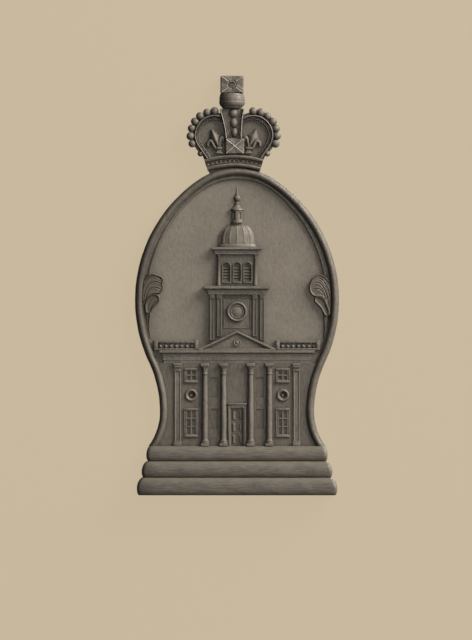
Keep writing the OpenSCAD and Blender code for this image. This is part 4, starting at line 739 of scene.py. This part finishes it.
# Places are measured from the top of the oval's rim, moved sideways by x. The orb is given as x, z, width and
# height, the front cross as x, width and height, and the upper one as width and height.
crown = {"x": -2.2, "bandRadius": 61.6, "bandHeight": 8.7, "bandAngle": 17.2, "bandOut": 5.6,
         "bandFloor": 0.58, "beads": 13, "capOut": 1.6, "archX": 13.5, "archZ": 22.8, "archRadius": 14.3,
         "archWidth": 3.6, "archOut": 3.4, "archStopZ": 35.0, "legAngle": -35.0, "legIn": 2.3, "pearl": 5.6,
         "pearls": 7, "pearlTurn": (-21.0, 90.0), "strapFoot": 11.4, "strapTop": 17.4, "strapOut": 4.6,
         "jewelOut": 2.9, "orb": (-1.3, 41.2, 17.8, 10.8), "front": (0.6, 13.3, 11.0), "cross": (16.2, 12.2),
         "crossOut": 6.4, "crossPoints": 400, "crossCorner": 0.9}
fleur = {"x": 10.3, "z": 13.6, "lean": 22.0, "out": 2.8, "petal": 14.5, "petalWidth": 8.0, "wideAt": 0.6,
         "hookWidth": (2.0, 0.8),
         "hooks": [[(1.9, -1), (3.8, 1.8), (4.9, 4.6), (6.4, 5.2), (7.8, 3.8), (8, 1.2)],
                   [(0.1, 0.6), (-0.3, 3.6), (-1, 6.4), (-2, 7.8), (-3, 6.8), (-2.7, 4.6)]],
         "ties": [(0.1, 4.2, 1.5, 3.1), (-1.9, 3.4, 2.6, 2.1), (-3.2, 4.8, 1.2, 2.52)]}
# Ridges and creases as size, middle and half width, and jewels as place, width and height
bandRidges = [(1, 0.17, 0.17), (1, 0.83, 0.17), (0.5, 0.395, 0.045), (0.5, 0.605, 0.045)]
bandCreases = [(0.22, 0.17, 0.03), (0.22, 0.83, 0.03)]
archRidges = [(1, 0.24, 0.24), (0.8, 0.62, 0.1), (0.72, 0.88, 0.12)]
orbCreases = [(0.25, 0.5, 0.4), (0.3, 0.14, 0.4), (0.2, 0.84, 0.3)]
jewels = [(0.19, 5.0, 7.0), (0.52, 5.6, 7.4), (0.85, 6.2, 6.8)]
# A cross block's face: its depth under the lines, the grooves beside them, its fall, the dip and the round edge
crossFace = {"under": 0.45, "groove": 0.2, "grooveAt": 0.55, "grooveHalf": 0.25, "fall": 0.2, "fallFrom": 1.0,
             "fallTo": 2.0, "dip": 0.35, "dipR": 2.7, "dipHalf": 0.3, "round": 1.2, "roundShare": 0.15}
bandMiddle = 0.3 - crown["bandRadius"]
bandTop = bandMiddle + crown["bandRadius"] + crown["bandHeight"]
capTop = plateTop + crown["capOut"]
capSeat = capTop - skin["sunk"]
frontX, frontW, frontH = crown["front"]
orbX, orbZ, orbW, orbH = crown["orb"]
crossW, crossH = crown["cross"]
frontZ = bandTop + 0.5
strapZ = (frontZ + frontH + 0.1, orbZ - 0.1)
# A cross block's middle and size, its hole's radius, and where its pale lines start on the way to a corner
crosses = {
    "crown_front_cross": {"x": frontX, "z": frontZ + frontH / 2, "w": frontW, "h": frontH, "seat": capSeat,
                          "top": capTop + crown["strapOut"] - 0.3, "hole": 0, "start": 0.02},
    "crown_cross": {"x": orbX, "z": orbZ + orbH + crossH / 2, "w": crossW, "h": crossH, "seat": plateSeat,
                    "top": plateTop + crown["crossOut"] - 0.3, "hole": 2.0, "start": 0.34},
}


def crownPiece(node, shells, finish="crownLead", **options):
    makePiece(node, moved(shells, crown["x"], crestTop), finish, **options)


def bumps(s, ridges):
    # Half circles over strips of the section, one row for each
    return [size * np.sqrt(np.clip(1 - ((s - middle) / half) ** 2, 0, 1)) for size, middle, half in ridges]


def section(width, out, seat):
    # A bar's profile: heights at even steps across its width, closed down to its seat
    return zip(width * np.pad(np.linspace(0, 1, len(out)), 1, "edge"), np.pad(out, 1, constant_values=seat))


def bandShells():
    s, floor, high = np.linspace(0, 1, 61), crown["bandFloor"], crown["bandHeight"]
    shape = np.maximum.reduce(bumps(s, bandRidges)) - sum(bumps(s, bandCreases))
    turned = lambda u, reach, count: arc(0, bandMiddle, crown["bandRadius"] + u, 90 - reach, 90 + reach, count)
    line = lambda u: turned(u, crown["bandAngle"], 90)
    out = plateTop + crown["bandOut"] * (floor + (1 - floor) * shape)
    beads = turned(high / 2, crown["bandAngle"] - 1.2, crown["beads"])
    return [barShell(line, section(high, out, plateSeat))] + [
        ballShell(x, z, plateTop + floor * crown["bandOut"], 1.0, 0.9, 16) for x, z in beads]


def strapSide(side, z):
    # Half the front arch's width at a height, drawn in like a waist, about its leaning middle line
    t = (z - strapZ[0]) / (strapZ[1] - strapZ[0])
    half = crown["strapFoot"] / 2 + (crown["strapTop"] - crown["strapFoot"]) / 2 * t ** 1.5
    footX = frontX - 0.7
    return footX + (orbX - footX) * t + side * half


def archShells(side):
    # The right arch, or the left one drawn on the right, up to its own side of the front arch
    x, z, leg = crown["archX"], crown["archZ"], crown["legAngle"]
    stopX = side * strapSide(side, crown["archStopZ"]) - 0.4

    def line(inset):
        r = crown["archRadius"] - inset
        ring = arc(x, z, r, leg, np.degrees(np.arccos((stopX - x) / r)), 70)
        fall = ring[0][1] - bandTop + crown["legIn"]
        return np.concatenate([[ring[0] + (fall * np.tan(np.radians(leg)), -fall)], ring])

    s = np.linspace(0, 1, 37)
    out = capTop + 0.8 + (crown["archOut"] - 0.8) * np.maximum.reduce(bumps(s, archRidges))
    shells = [barShell(line, section(crown["archWidth"], out, capSeat))]
    pearl = crown["pearl"]
    places = arc(x, z, crown["archRadius"] + pearl / 2 - 0.4, *crown["pearlTurn"], crown["pearls"])
    for i, place in enumerate(places):
        size = pearl / 2 * (1 + 0.05 * np.sin(2.4 * i + side))
        shells.append(ballShell(*place, capTop + 0.2 * pearl, size, 0.95, 32))
    legX, legZ = x + 0.69 * crown["archRadius"], z - 0.9 * crown["archRadius"]
    return shells + [ballShell(legX, legZ, capTop + 0.8, 0.37 * pearl, 1, 28)]


def frontArchShells():
    z = np.linspace(*strapZ, 24)
    right, left = (np.stack([strapSide(s, z), z], -1) for s in (1, -1))
    shells = [slabShell(np.concatenate([right, left[::-1]]), capSeat, capTop + 0.9, 0.1)]
    for line, way in ((right, -1), (left, 1)):
        shells.append(bladeShell(line + (way * 0.6, 0), 1.2, crown["strapOut"] - 0.1, capTop, flatTop))
        shells.append(bladeShell(line + (way * 1.7, 0), 0.9, 1.9, capTop, flatTop, 9))
    # Jewels: half ellipsoids on the arch's middle line
    t, a = np.linspace(0, np.pi / 2, 15)[:, None], np.linspace(0, 2 * np.pi, 40, endpoint=False)
    for place, w, h in jewels:
        middleZ = strapZ[0] + (strapZ[1] - strapZ[0]) * place
        middleX = (strapSide(1, middleZ) + strapSide(-1, middleZ)) / 2 + 0.7
        dome = np.stack([middleX + w / 2 * np.sin(t) * np.cos(a), middleZ + h / 2 * np.sin(t) * np.sin(a),
                         capTop + 0.9 + crown["jewelOut"] * np.cos(t) + 0 * a], -1)
        foot = dome[-1:].copy()
        foot[..., 2] = capTop
        shells.append(gridShell(np.concatenate([dome, foot])))
    return shells


def roundedBoxLoop(x, z, w, h, corner, count):
    # Points on a box with round corners, at even angles about its middle
    a = np.linspace(0, 2 * np.pi, count, endpoint=False)
    ray = np.stack([np.cos(a), np.sin(a)], -1)
    lo, hi = np.zeros(count), np.full(count, w + h)
    for _ in range(40):
        t = (lo + hi) / 2
        p = np.abs(ray * t[:, None]) - (w / 2 - corner, h / 2 - corner)
        inside = np.linalg.norm(np.maximum(p, 0), axis=1) + np.minimum(p.max(1), 0) < corner
        lo, hi = np.where(inside, t, lo), np.where(inside, hi, t)
    return (x, z) + ray * lo[:, None]


def crossShells(cross):
    # Four arms that widen outwards, parted by two sharp diagonal ridges between shallow grooves
    x, z, w, h, hole = (cross[key] for key in ("x", "z", "w", "h", "hole"))
    slope, face = np.array([w, h]) / np.hypot(w, h), crossFace

    def height(px, pz, t):
        u, v = px - x, pz - z
        d = np.minimum(np.abs(u * slope[1] - v * slope[0]), np.abs(u * slope[1] + v * slope[0]))
        out = cross["top"] - face["under"] - face["groove"] * hump(d - face["grooveAt"], face["grooveHalf"])
        out -= face["fall"] * np.clip(d - face["fallFrom"], 0, face["fallTo"])
        if hole:
            out -= face["dip"] * hump(np.hypot(u, v) - face["dipR"], face["dipHalf"])
        return out - face["round"] * (1 - roundOver((1 - t) / face["roundShare"]))

    count = crown["crossPoints"]
    inner = arc(x, z, hole or skin["least"], 0, 360, count + 1)[:-1]
    outer = roundedBoxLoop(x, z, w, h, crown["crossCorner"], count)
    return [plaqueShell(inner, outer, height, cross["seat"], 44, hole > 0)]


def rubbedLines():
    # Thin ridges from each cross block's middle to its corners, and along the front arch's edges, pale as a
    # painted highlight
    shells = []
    for cross in crosses.values():
        u = np.linspace(cross["start"], 0.9, 12)[:, None]
        for i, j in ((-1, -1), (-1, 1), (1, -1), (1, 1)):
            path = (cross["x"], cross["z"]) + u * (i * cross["w"] / 2, j * cross["h"] / 2)
            shells.append(bladeShell(path, 0.7, 0.55, cross["top"] - 0.72, flatTop, 9))
    z, base = np.linspace(strapZ[0] + 0.2, strapZ[1] - 0.2, 24), capTop + crown["strapOut"] - 0.35
    for side in (-1, 1):
        path = np.stack([strapSide(side, z) - side * 0.55, z], -1)
        shells.append(bladeShell(path, 0.6, 0.4, base, lambda s, t: 1 - s ** 2, 7))
    return shells


def orbShells():
    w, h = orbW / 2, orbH
    foot, neck = 0.69 * w, crossW / 2 - 0.3
    low = bend((foot, 0), (w + 0.8, 0.26 * h), (w, 0.58 * h), 24)
    high = bend((w, 0.58 * h), (w - 0.1, 0.92 * h), (neck, h - 0.1), 16)[1:]
    line = np.concatenate([[(0, 0)], low, high, [(0, h - 0.1)]])
    for depth, middle, half in orbCreases:
        line[:, 0] -= depth * hump(line[:, 1] - middle * h, half)
    return [turnedShell(orbX, orbZ, plateSeat, np.maximum(line, 0), 60, 0.96)]


def fleurShells():
    # An upright foot and tie, then a broad leaning petal between two hooked ones
    out, lean, wide = fleur["out"], np.radians(fleur["lean"]), fleur["wideAt"]
    tie = np.array([fleur["x"], fleur["z"]])
    t = np.linspace(0, 1, 40)
    swell, point = 0.18 + 0.82 * np.sin(np.pi / 2 * t / wide) ** 1.4, ((1 - t) / (1 - wide)) ** 0.85
    petal = fleur["petalWidth"] * np.where(t < wide, swell, point) + 0.2
    roof = lambda s, u: (1 - np.abs(s) ** 1.5) * (0.35 + 0.65 * np.sin(np.pi * np.clip(u, 0.02, 0.98)) ** 0.5)
    path = tie + np.outer(fleur["petal"] * t, (np.sin(lean), np.cos(lean)))
    shells = [bladeShell(path, petal, out + 0.6, capTop, roof, 21)]
    hook = lambda s, u: (1 - s ** 4) * (0.55 + 0.45 * np.sin(np.pi * (0.15 + 0.75 * u)))
    for line in fleur["hooks"]:
        path = cutCorners(tie + line, 4)
        least, more = fleur["hookWidth"]
        size = least + more * np.sin(np.pi * np.linspace(0, 1, len(path)))
        shells.append(bladeShell(path, size, out + 0.2, capTop, hook, 13))
    for z, w, h, level in fleur["ties"]:
        foot = boxLoop(-w / 2, w / 2, z - h / 2, z + h / 2) + tie
        shells.append(slabShell(foot, capSeat, capTop + level, 0.5, 4))
    return shells


crownPiece("crown_band", bandShells(), sharp=50)
crownPiece("crown_right_arch", archShells(1), sharp=50)
crownPiece("crown_left_arch", mirrored(archShells(-1)), sharp=50)
crownPiece("crown_front_arch", frontArchShells(), sharp=50)
for node, cross in crosses.items():
    crownPiece(node, crossShells(cross))
# The pale lines are a painted highlight on the crown's thin ridges
crownPiece("crown_rubbed_lines", rubbedLines(), "rubbedLead", stands=False)
crownPiece("crown_orb", orbShells(), sharp=60)
crownPiece("crown_right_fleur", fleurShells(), sharp=60)
crownPiece("crown_left_fleur", mirrored(fleurShells()), sharp=60)
print("crown: nine pieces and their rubbed lines")


# The hall: relief tiles, turned columns, cornices that return at their ends

column = {"radius": 2.4, "back": 0.9, "flute": 0.055, "leaves": 10}
window = {"rows": {"lower": 3, "upper": 2}, "bar": 0.8, "depth": 1.0, "face": 0.7, "jamb": 0.9}
door = {"width": 9.4, "height": 27.0, "frame": 1.6, "panels": 3, "leafShare": 0.3}
boltRing = {"hole": 2.0, "roll": (1.0, 1.15)}
hallZ = stepTop
hallTop = span("hall_wall")["z1"]
hallH = hallTop - hallZ - 0.1


def smooth(distance, soft=0.3):
    t = np.clip(distance / soft + 0.5, 0, 1)
    return t * t * (3 - 2 * t)


def reliefShell(x0, x1, z0, z1, height, pitch=0.13, soft=0.3):
    # A tile whose height is a function of the place, rounded over at its outer edge
    lines = (np.linspace(a, b, int((b - a) / pitch) + 2) for a, b in ((x0, x1), (z0, z1)))
    x, z = np.meshgrid(*lines, indexing="ij")
    inset = np.minimum.reduce([x - x0, x1 - x, z - z0, z1 - z])
    return tileShell(x, z, height(x, z) - soft * (1 - roundOver(inset / soft)), plateSeat)


def columnShells(node):
    x, r, level = span(node)["x"], column["radius"], wallTop + column["back"]
    turn = np.linspace(0, np.pi, 56)
    torus = lambda middle, radius, size: arc(radius, middle, size, -90, 90, 9)
    shaft = bend((0.88 * r, 5.0), (0.92 * r, 0.4 * hallH), (0.76 * r, hallH - 8), 30)
    bell = bend((0.78 * r, hallH - 6.4), (0.86 * r, hallH - 3.6), (1.18 * r, hallH - 1.9), 14)
    profile = np.array([(0, 1.9), (1.02 * r, 1.9), *torus(2.6, 1.02 * r, 0.62), *torus(3.75, 0.95 * r, 0.38),
                        (0.88 * r, 4.4), *shaft, *torus(hallH - 7.3, 0.8 * r, 0.42), *bell, (0, hallH - 1.9)])
    up = profile[:, 1:]
    leafy = np.clip((up - hallH + 6.0) / 2.4, 0, 1) * (up < hallH - 2.0)
    carve = column["flute"] * leafy * np.cos(column["leaves"] * turn)
    return [turnedShell(x, hallZ, level, profile, len(turn), carve=carve)] + blocks(x, hallZ, wallSeat, level, [
        (0.76 * r, 0.1, hallH, 0.02, 0.1), (1.2 * r, 0.05, 2, 1.2 * r, 0.3),
        (1.24 * r, hallH - 2, hallH, 1.24 * r, 0.3), (1.05 * r, hallH - 2.6, hallH - 1.8, 1.08 * r, 0.25)])


def pilasterShells(node):
    box = span(node)
    x, half = box["x"], box["w"] / 2 - 0.8
    body, *courses = blocks(x, hallZ, wallSeat, wallTop, [
        (half, 0.05, hallH, 0.8, 0.15), (half + 0.6, 0.05, 3, 2, 0.25), (half + 0.3, 3, 3.7, 1.6, 0.25),
        (half + 0.3, hallH - 5.4, hallH - 4.6, 1.7, 0.25), (half + 0.5, hallH - 3, hallH - 1.4, 2, 0.25),
        (half + 0.8, hallH - 1.5, hallH, 2.4, 0.25)])
    field = frameShell(boxLoop(x - half, x + half, hallZ + 2.6, hallZ + hallH - 5), wallTop,
                       [(0, 0), (0, 1.1), (0.25, 1.35), (0.6, 1.35), (1, 0.7)])
    return [body, field, *courses]


def windowShells(node, rows):
    box = span(node)
    x, z, high = box["x"], box["z0"] + 1.2, box["h"] - 2.2
    jamb, bar = window["jamb"], window["bar"]
    half = box["w"] / 2 - jamb
    paneW, paneH = half - 1.5 * bar, (high - (rows + 1) * bar) / rows

    def height(px, pz):
        u = np.mod(px - x + half, paneW + bar) - bar
        v = np.mod(pz - z, paneH + bar) - bar
        pane = smooth(np.minimum.reduce([u, paneW - u, v, paneH - v]), 0.35)
        return wallTop + window["face"] - (window["face"] + window["depth"]) * pane

    shells = [reliefShell(x - half, x + half, z, z + high, height)]
    shells += blocks(x, z, wallSeat, wallTop, [(half + jamb, -1.2, 0.4, 1.6, 0.3),
                                               (half + jamb, high - 0.4, high + 1, 1.3, 0.3)])
    for side in (-1, 1):
        shells += blocks(x + side * (half + 0.5), z, wallSeat, wallTop, [(0.4, 0.4, high - 0.4, 0.9, 0.25)])
    return shells


def ringShells(node):
    box = span(node)
    r, hole, size = box["w"] / 2, boltRing["hole"], boltRing["roll"]
    roll = arc(r - size[0], wallTop + 0.25, size, 0, 180, 12)
    profile = [(hole, plateTop), (r - 1.05, plateTop), (r - 1.05, wallTop - 0.1), (r, wallTop - 0.1), *roll,
               (hole + 0.35, wallTop + 0.5), (hole, wallTop + 0.2)]
    return [pegShell(box["x"], box["z"], profile, 64, True)]


def doorShells():
    half, high, frameW, count = door["width"] / 2, door["height"], door["frame"], door["panels"]
    leafTop = plateTop + door["leafShare"] * (wallTop - plateTop)
    panelW, panelH = half - 1.4, (high - 5.2) / count

    def height(px, pz):
        u, v = np.abs(px), pz - hallZ - 1
        v -= np.clip(np.floor(v / (panelH + 1)), 0, count - 1) * (panelH + 1)
        inner = np.minimum(panelW / 2 - np.abs(u - half / 2 - 0.1), panelH / 2 - np.abs(v - panelH / 2))
        fielded = smooth(inner - 0.15, 0.3) * 0.35 + np.clip((inner - 0.6) / 0.9, 0, 1) * 0.6
        return leafTop + 0.55 - 0.5 * smooth(inner + 0.1, 0.25) + fielded - 0.55 * smooth(0.22 - u, 0.2)

    outer, lintel = half + frameW, hallZ + high + frameW
    reach = frameW + 0.7
    line = lambda u: np.array([(outer - u, hallZ + 0.1), (outer - u, lintel - u),
                               (u - outer, lintel - u), (u - outer, hallZ + 0.1)])
    profile = [(0, 0), (0, 0.8), (0.3, 1.1), (0.8, 1.1), (1.0, 0.6), (1.5, 0.75), (1.8, 0.6), (reach, -0.6),
               (reach, -1.6), (0.1 + frameW, plateTop + 0.3 - wallTop)]
    return [reliefShell(-half + 0.05, half - 0.05, hallZ + 0.05, hallZ + high, height),
            barShell(line, profile, wallTop), *blocks(0, lintel, wallSeat, wallTop, [
                (half + 1.8, -0.2, 0.6, 1.5, 0.25), (half + 2.2, 0.5, 1.3, 2, 0.3)])]


def makeCornice(node, body, out, high, courses=()):
    # A section of reach and height that stands on its flat courses and returns at both ends
    box = span(node)
    foot = courses[-1][1] if courses else 0
    steps = [(0.25, 0), (0.25, 0.3), (0.4, 0.3), *arc(0.85, 0.38, (-0.45, 0.32), 0, 90, 9), (1, 0.7), (1, 1)]
    rows = []
    for r, h in [*courses, *((out * u, foot + high * v) for u, v in steps)]:
        x, z, top = box["w"] / 2 - out + r, box["z0"] + h, plateTop + body + r
        rows.append([(-x, z, plateSeat), (-x, z, top), (x, z, top), (x, z, plateSeat)])
    makePiece(node, [gridShell(np.array(rows))], "trimLead", edge=0.18)


for number in range(1, 5):
    makePiece(f"column_{number}", columnShells(f"column_{number}"), "trimLead", sharp=45)
for side in ("left", "right"):
    makePiece(f"{side}_pilaster", pilasterShells(f"{side}_pilaster"), "trimLead")
    for place, rows in window["rows"].items():
        node = f"{side}_{place}_window"
        makePiece(node, windowShells(node, rows), "trimLead", sharp=50)
    makePiece(f"{side}_ring", ringShells(f"{side}_ring"), "trimLead", sharp=50)
makePiece("hall_door", doorShells(), "trimLead", sharp=50)
makeCornice("hall_cornice", 2.5, 3.4, 5.22, [(0.2, 0), (0.2, 2.16), (0.7, 2.16), (0.7, 3.78)])
print("hall: columns, windows, rings, door and cornice")


# Gable, balustrades and tower

gable = {"high": 13.5, "out": 3.0, "base": 0.8, "blockX": 19.1, "boss": 0.36, "bossZ": 0.4}
balustrade = {"high": 6.4, "pier": 2.6, "out": 3.2, "count": 7}
tower = {"out": 2.6, "strip": 3.2, "stripX": (0.5, 2.1), "cap": 0.3}
belfry = {"half": 14.5, "post": 3.4, "opening": 0.66, "sill": 3.0, "spring": 13.64, "slats": 5}
dome = {"radius": 13.5, "depth": 5.2, "neck": 4.6, "pitch": 24, "ribAt": 18, "rib": 0.055, "seam": 0.012}
lantern = {"radius": 3.8, "high": 14.0, "body": 0.66, "lights": 5, "sunk": 0.22}
towerZ = span("hall_cornice")["z1"]
stageTop = plateTop + tower["out"]
stageSeat = stageTop - skin["sunk"]


def gableShells():
    half, high, base, rise = span("pediment")["w"] / 2, gable["high"], gable["base"], gable["out"]
    top = np.array([(half, towerZ + base), (0, towerZ + high), (-half, towerZ + base)])
    face = insetLoop([(-half, towerZ), (half, towerZ), *top], 0.3)
    rake = lambda u: top * (1 - u / 13, 1) - np.outer((0.35, 1.1, 0.35), (0, u))
    profile = [(0, -skin["sunk"]), (0, rise - 0.25), (0.2, rise), (0.9, rise), (1.0, rise - 0.7),
               (1.5, rise - 0.9), (1.9, 0.45 * rise), (2.2, 0.4 * rise), (2.3, -skin["sunk"])]
    shells = [slabShell(face, stageSeat, stageTop + 0.15 * rise, 0.1), barShell(rake, profile, stageTop)]
    for side in (-1, 1):
        shells += blocks(side * (half + gable["blockX"]) / 2, towerZ, plateSeat, stageTop,
                         [((half - gable["blockX"]) / 2, 0, base, rise, 0.2)])
    shells += blocks(0, towerZ, stageSeat, stageTop, [(half - 0.024, 0.02, 0.75, rise, 0.2),
                                                      (half - 0.84, 0.7, 1.4, 0.55 * rise, 0.2)])
    r, out = gable["boss"] * high / 2, stageTop + 0.75 * rise
    boss = [(0, 0), (0.35, -0.1), (0.6, -0.5), (0.72, -0.55), (0.8, -0.1), (0.9, 0.05), (1, -0.2),
            (1, -0.78 * rise)]
    return shells + [pegShell(0, towerZ + gable["bossZ"] * high, [(r * u, out + v) for u, v in boss], 48)]


def balustradeShells(node):
    box = span(node)
    x, z, half = box["x"], box["z0"], box["w"] / 2
    h, pier, out, count = (balustrade[key] for key in ("high", "pier", "out", "count"))
    pitch = (box["w"] - 2 * pier) / count
    r = min(0.42 * pitch, 0.5 * out)
    shells = blocks(x, z, plateSeat, plateTop, [
        (half - 0.1, 0.1, h - 0.1, 0.3 * out, 0.1), (half, 0, 1.2, out, 0.3),
        (half, h - 1.4, h - 0.5, out - 0.3, 0.25), (half, h - 0.75, h, out, 0.25)])
    for side in (-1, 1):
        shells += blocks(x + side * (half - pier / 2), z, plateSeat, plateTop, [
            (pier / 2, 0, h + 0.6, out + 0.3, 0.35), (pier / 2 - 0.7, 2, h - 1.8, out + 0.5, 0.25)])
    profile = [(0, 0), (0.75 * r, 0), (0.75 * r, 0.35), (0.5 * r, 0.6),
               *bend((0.55 * r, 0.6), (1.35 * r, 1.5), (0.6 * r, 2.7), 9),
               (0.42 * r, h - 3.0), (0.75 * r, h - 2.5), (0.75 * r, h - 2.2), (0, h - 2.2)]
    places = x - half + pier + pitch * (np.arange(count) + 0.5)
    return shells + [turnedShell(place, z + 1, plateTop + 0.3 * out, profile, 20) for place in places]


def stageShells():
    box = span("tower_stage")
    half, strip, high = box["w"] / 2, tower["strip"], box["z1"] - towerZ
    shells = blocks(0, towerZ, plateSeat, stageTop, [(half, 0.05, high, 0, 0.2)])
    for side in (-1, 1):
        for away in tower["stripX"]:
            x = half - away * strip
            low = gable["high"] * (1 - (x - strip / 2) / 27) + 1.4
            a, b = side * x - strip / 2, side * x + strip / 2
            shells += blocks(side * x, towerZ, stageSeat, stageTop, [(strip / 2, low, high, 0.9, 0.2)])
            shells.append(frameShell(boxLoop(a, b, towerZ + low, box["z1"] - 2.5), stageTop,
                                     [(0, 0), (0, 1.25), (0.25, 1.5), (0.55, 1.5), (0.9, 0.8)]))
            a, b = max(a - tower["cap"], -half), min(b + tower["cap"], half)
            shells += blocks((a + b) / 2, towerZ, stageSeat, stageTop, [
                ((b - a) / 2, high - 2.6, high - 1.4, 1.8, 0.25), ((b - a) / 2, high - 1.5, high, 2, 0.25)])
    inner = half - 2.6 * strip - 1.2
    field = boxLoop(-inner, inner, towerZ + gable["high"] + 1.6, box["z1"] - 2.2)
    return shells + [frameShell(field, stageTop, [(0, -skin["sunk"]), (0, 0.35), (0.2, 0.5), (0.5, 0.5),
                                                  (0.8, -skin["sunk"])])]


def medallionShells():
    box = span("tower_medallion")
    r = box["w"] / 2
    profile = [(r, stageSeat), *arc(r - 1.05, stageTop + 0.6, (1.05, 1.25), 0, 180, 14),
               *arc(r - 2.9, stageTop + 0.7, (0.45, 0.6), 0, 180, 14),
               (r - 3.6, stageTop + 0.75), (0.4 * r, stageTop + 1.1), (0, stageTop + 1.3)]
    return [pegShell(box["x"], box["z"], profile, 96)]


def belfryShells():
    box = span("belfry")
    half, post, sill, spring, slats = (belfry[key] for key in ("half", "post", "sill", "spring", "slats"))
    z, top = box["z0"], box["h"]
    bay = (2 * half - 2 * post) / 3
    openW, slatH = belfry["opening"] * bay, (spring - sill) / slats

    def height(px, pz):
        # Three arched openings with a lip round each and sloping slats inside
        u, v = np.abs(np.mod(px + 1.5 * bay, bay) - bay / 2), pz - z
        arch = np.where(v > spring, openW / 2 - np.hypot(u, v - spring), np.minimum(openW / 2 - u, v - sill))
        arch = np.where(np.abs(px) < 1.5 * bay, arch, -5)
        slat = np.mod(v - sill, slatH) / slatH
        louvre = 1.1 * (1 - slat) * smooth(spring - 0.2 - v, 0.3) * smooth(slat - 0.06, 0.1)
        return stageTop + 0.75 * smooth(arch + 0.75, 0.25) - (2.3 - louvre) * smooth(arch, 0.25)

    profile = [(0, 0), (1.6, 0), (1.6, 1.3), (1.45, 1.5), (1.5, 1.8), (1.25, 2.2), (1.2, 0.4 * top),
               (1.08, top - 3.0), (1.35, top - 2.7), (1.35, top - 2.4), (1.1, top - 2.2), (1.3, top - 1.3),
               (1.6, top - 1.0), (1.6, top), (0, top)]
    shells = [reliefShell(-half, half, z + 0.05, box["z1"], height, 0.12, 0.2)]
    shells += [turnedShell(side * (half - post / 2), z, stageTop, profile, 28) for side in (-1, 1)]
    for x in (-bay, 0, bay):
        shells += blocks(x, z + sill, stageSeat, stageTop, [(bay / 2 - 0.7, -1.2, -0.3, 1.0, 0.25)])
    return shells


def domeShells():
    box = span("dome")
    r, high, neck, pitch = dome["radius"], box["h"], dome["neck"], dome["pitch"]
    line = np.array([(0, 0), (r, 0), (r, 1.4), (r - 0.3, 1.7), (r - 0.9, 2.1),
                     *bend((r - 0.9, 2.3), (r - 1.2, 0.88 * high), (neck, high - 1.3), 40),
                     (neck, high), (0, high)])
    turn = np.linspace(0, 180, 150) - dome["ribAt"]
    ribs = hump(np.mod(turn + pitch / 2, pitch) - pitch / 2, 2.4)
    seams = hump(np.mod(turn, pitch) - pitch / 2, 1.0)
    live = smooth(line[:, 1:] - 2.5, 0.6) * smooth(high - 0.6 - line[:, 1:], 0.8)
    carve = live * (dome["rib"] * ribs - dome["seam"] * seams)
    return [turnedShell(0, box["z0"], plateSeat, line, len(turn), dome["depth"] / r, carve)]


def lanternShells():
    r, high = lantern["radius"], lantern["high"]
    body, turn = lantern["body"] * high, np.linspace(0, np.pi, 90)
    line = np.array([(0, 0), (r + 0.6, 0), (r + 0.6, 0.9), (r + 0.2, 1.2), (r, 1.5),
                     *((r, z) for z in np.linspace(1.7, body - 1.1, 24)),
                     (r, body - 0.9), (r + 0.9, body - 0.5), (r + 0.9, body + 0.4),
                     *bend((r + 0.6, body + 0.7), (0.8 * r, body + 1.2), (0.5 * r, high - 1.8), 12),
                     (0.42 * r, high - 1.5), (0.46 * r, high - 0.9), (0.46 * r, high - 0.1), (0, high - 0.1)])
    light = smooth(-np.sin(lantern["lights"] * turn) - 0.15, 0.3)
    arch = smooth(line[:, 1:] - 2.3, 0.4) * smooth(body - 1.9 - line[:, 1:], 0.5)
    carve = -lantern["sunk"] * arch * light
    return [turnedShell(0, span("lantern")["z0"], plateSeat, line, len(turn), carve=carve)]


def finialShells():
    box = span("finial")
    r, ballZ, high = 0.21 * box["h"], 0.26 * box["h"], box["h"]
    ball = arc(0, ballZ, r, -62, 62, 15)
    line = [(0, 0), (1.5, 0), (1.5, 0.3), (1.0, 0.7), *ball, (1.35, 0.49 * high), (1.3, 0.52 * high),
            (0.75, 0.55 * high), (0.35, high - 0.5), (0.15, high), (0, high)]
    return [turnedShell(0, box["z0"], plateSeat, line)]


makePiece("pediment", gableShells(), "trimLead", sharp=35)
for node in ("left_balustrade", "right_balustrade"):
    makePiece(node, balustradeShells(node), "trimLead", sharp=45)
makePiece("tower_stage", stageShells(), "wallLead")
makePiece("tower_medallion", medallionShells(), "trimLead", sharp=60, rivets=False)
makePiece("belfry", belfryShells(), "wallLead", sharp=50)
makeCornice("tower_cornice", 4.1, 3.8, 5.9)
makeCornice("belfry_cornice", 3.8, 3.0, 4.9)
makePiece("dome", domeShells(), "trimLead", sharp=60)
makePiece("lantern", lanternShells(), "trimLead", sharp=50)
makePiece("finial", finialShells(), "trimLead", sharp=50)
print("gable, balustrades and tower")


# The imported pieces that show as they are

for node, finish in (("back_plate", "plateLead"), ("crown_cap", "capLead"), ("hall_wall", "wallLead")):
    mesh = frame["nodes"][node].data
    mesh.materials.clear()
    mesh.materials.append(materials[finish])
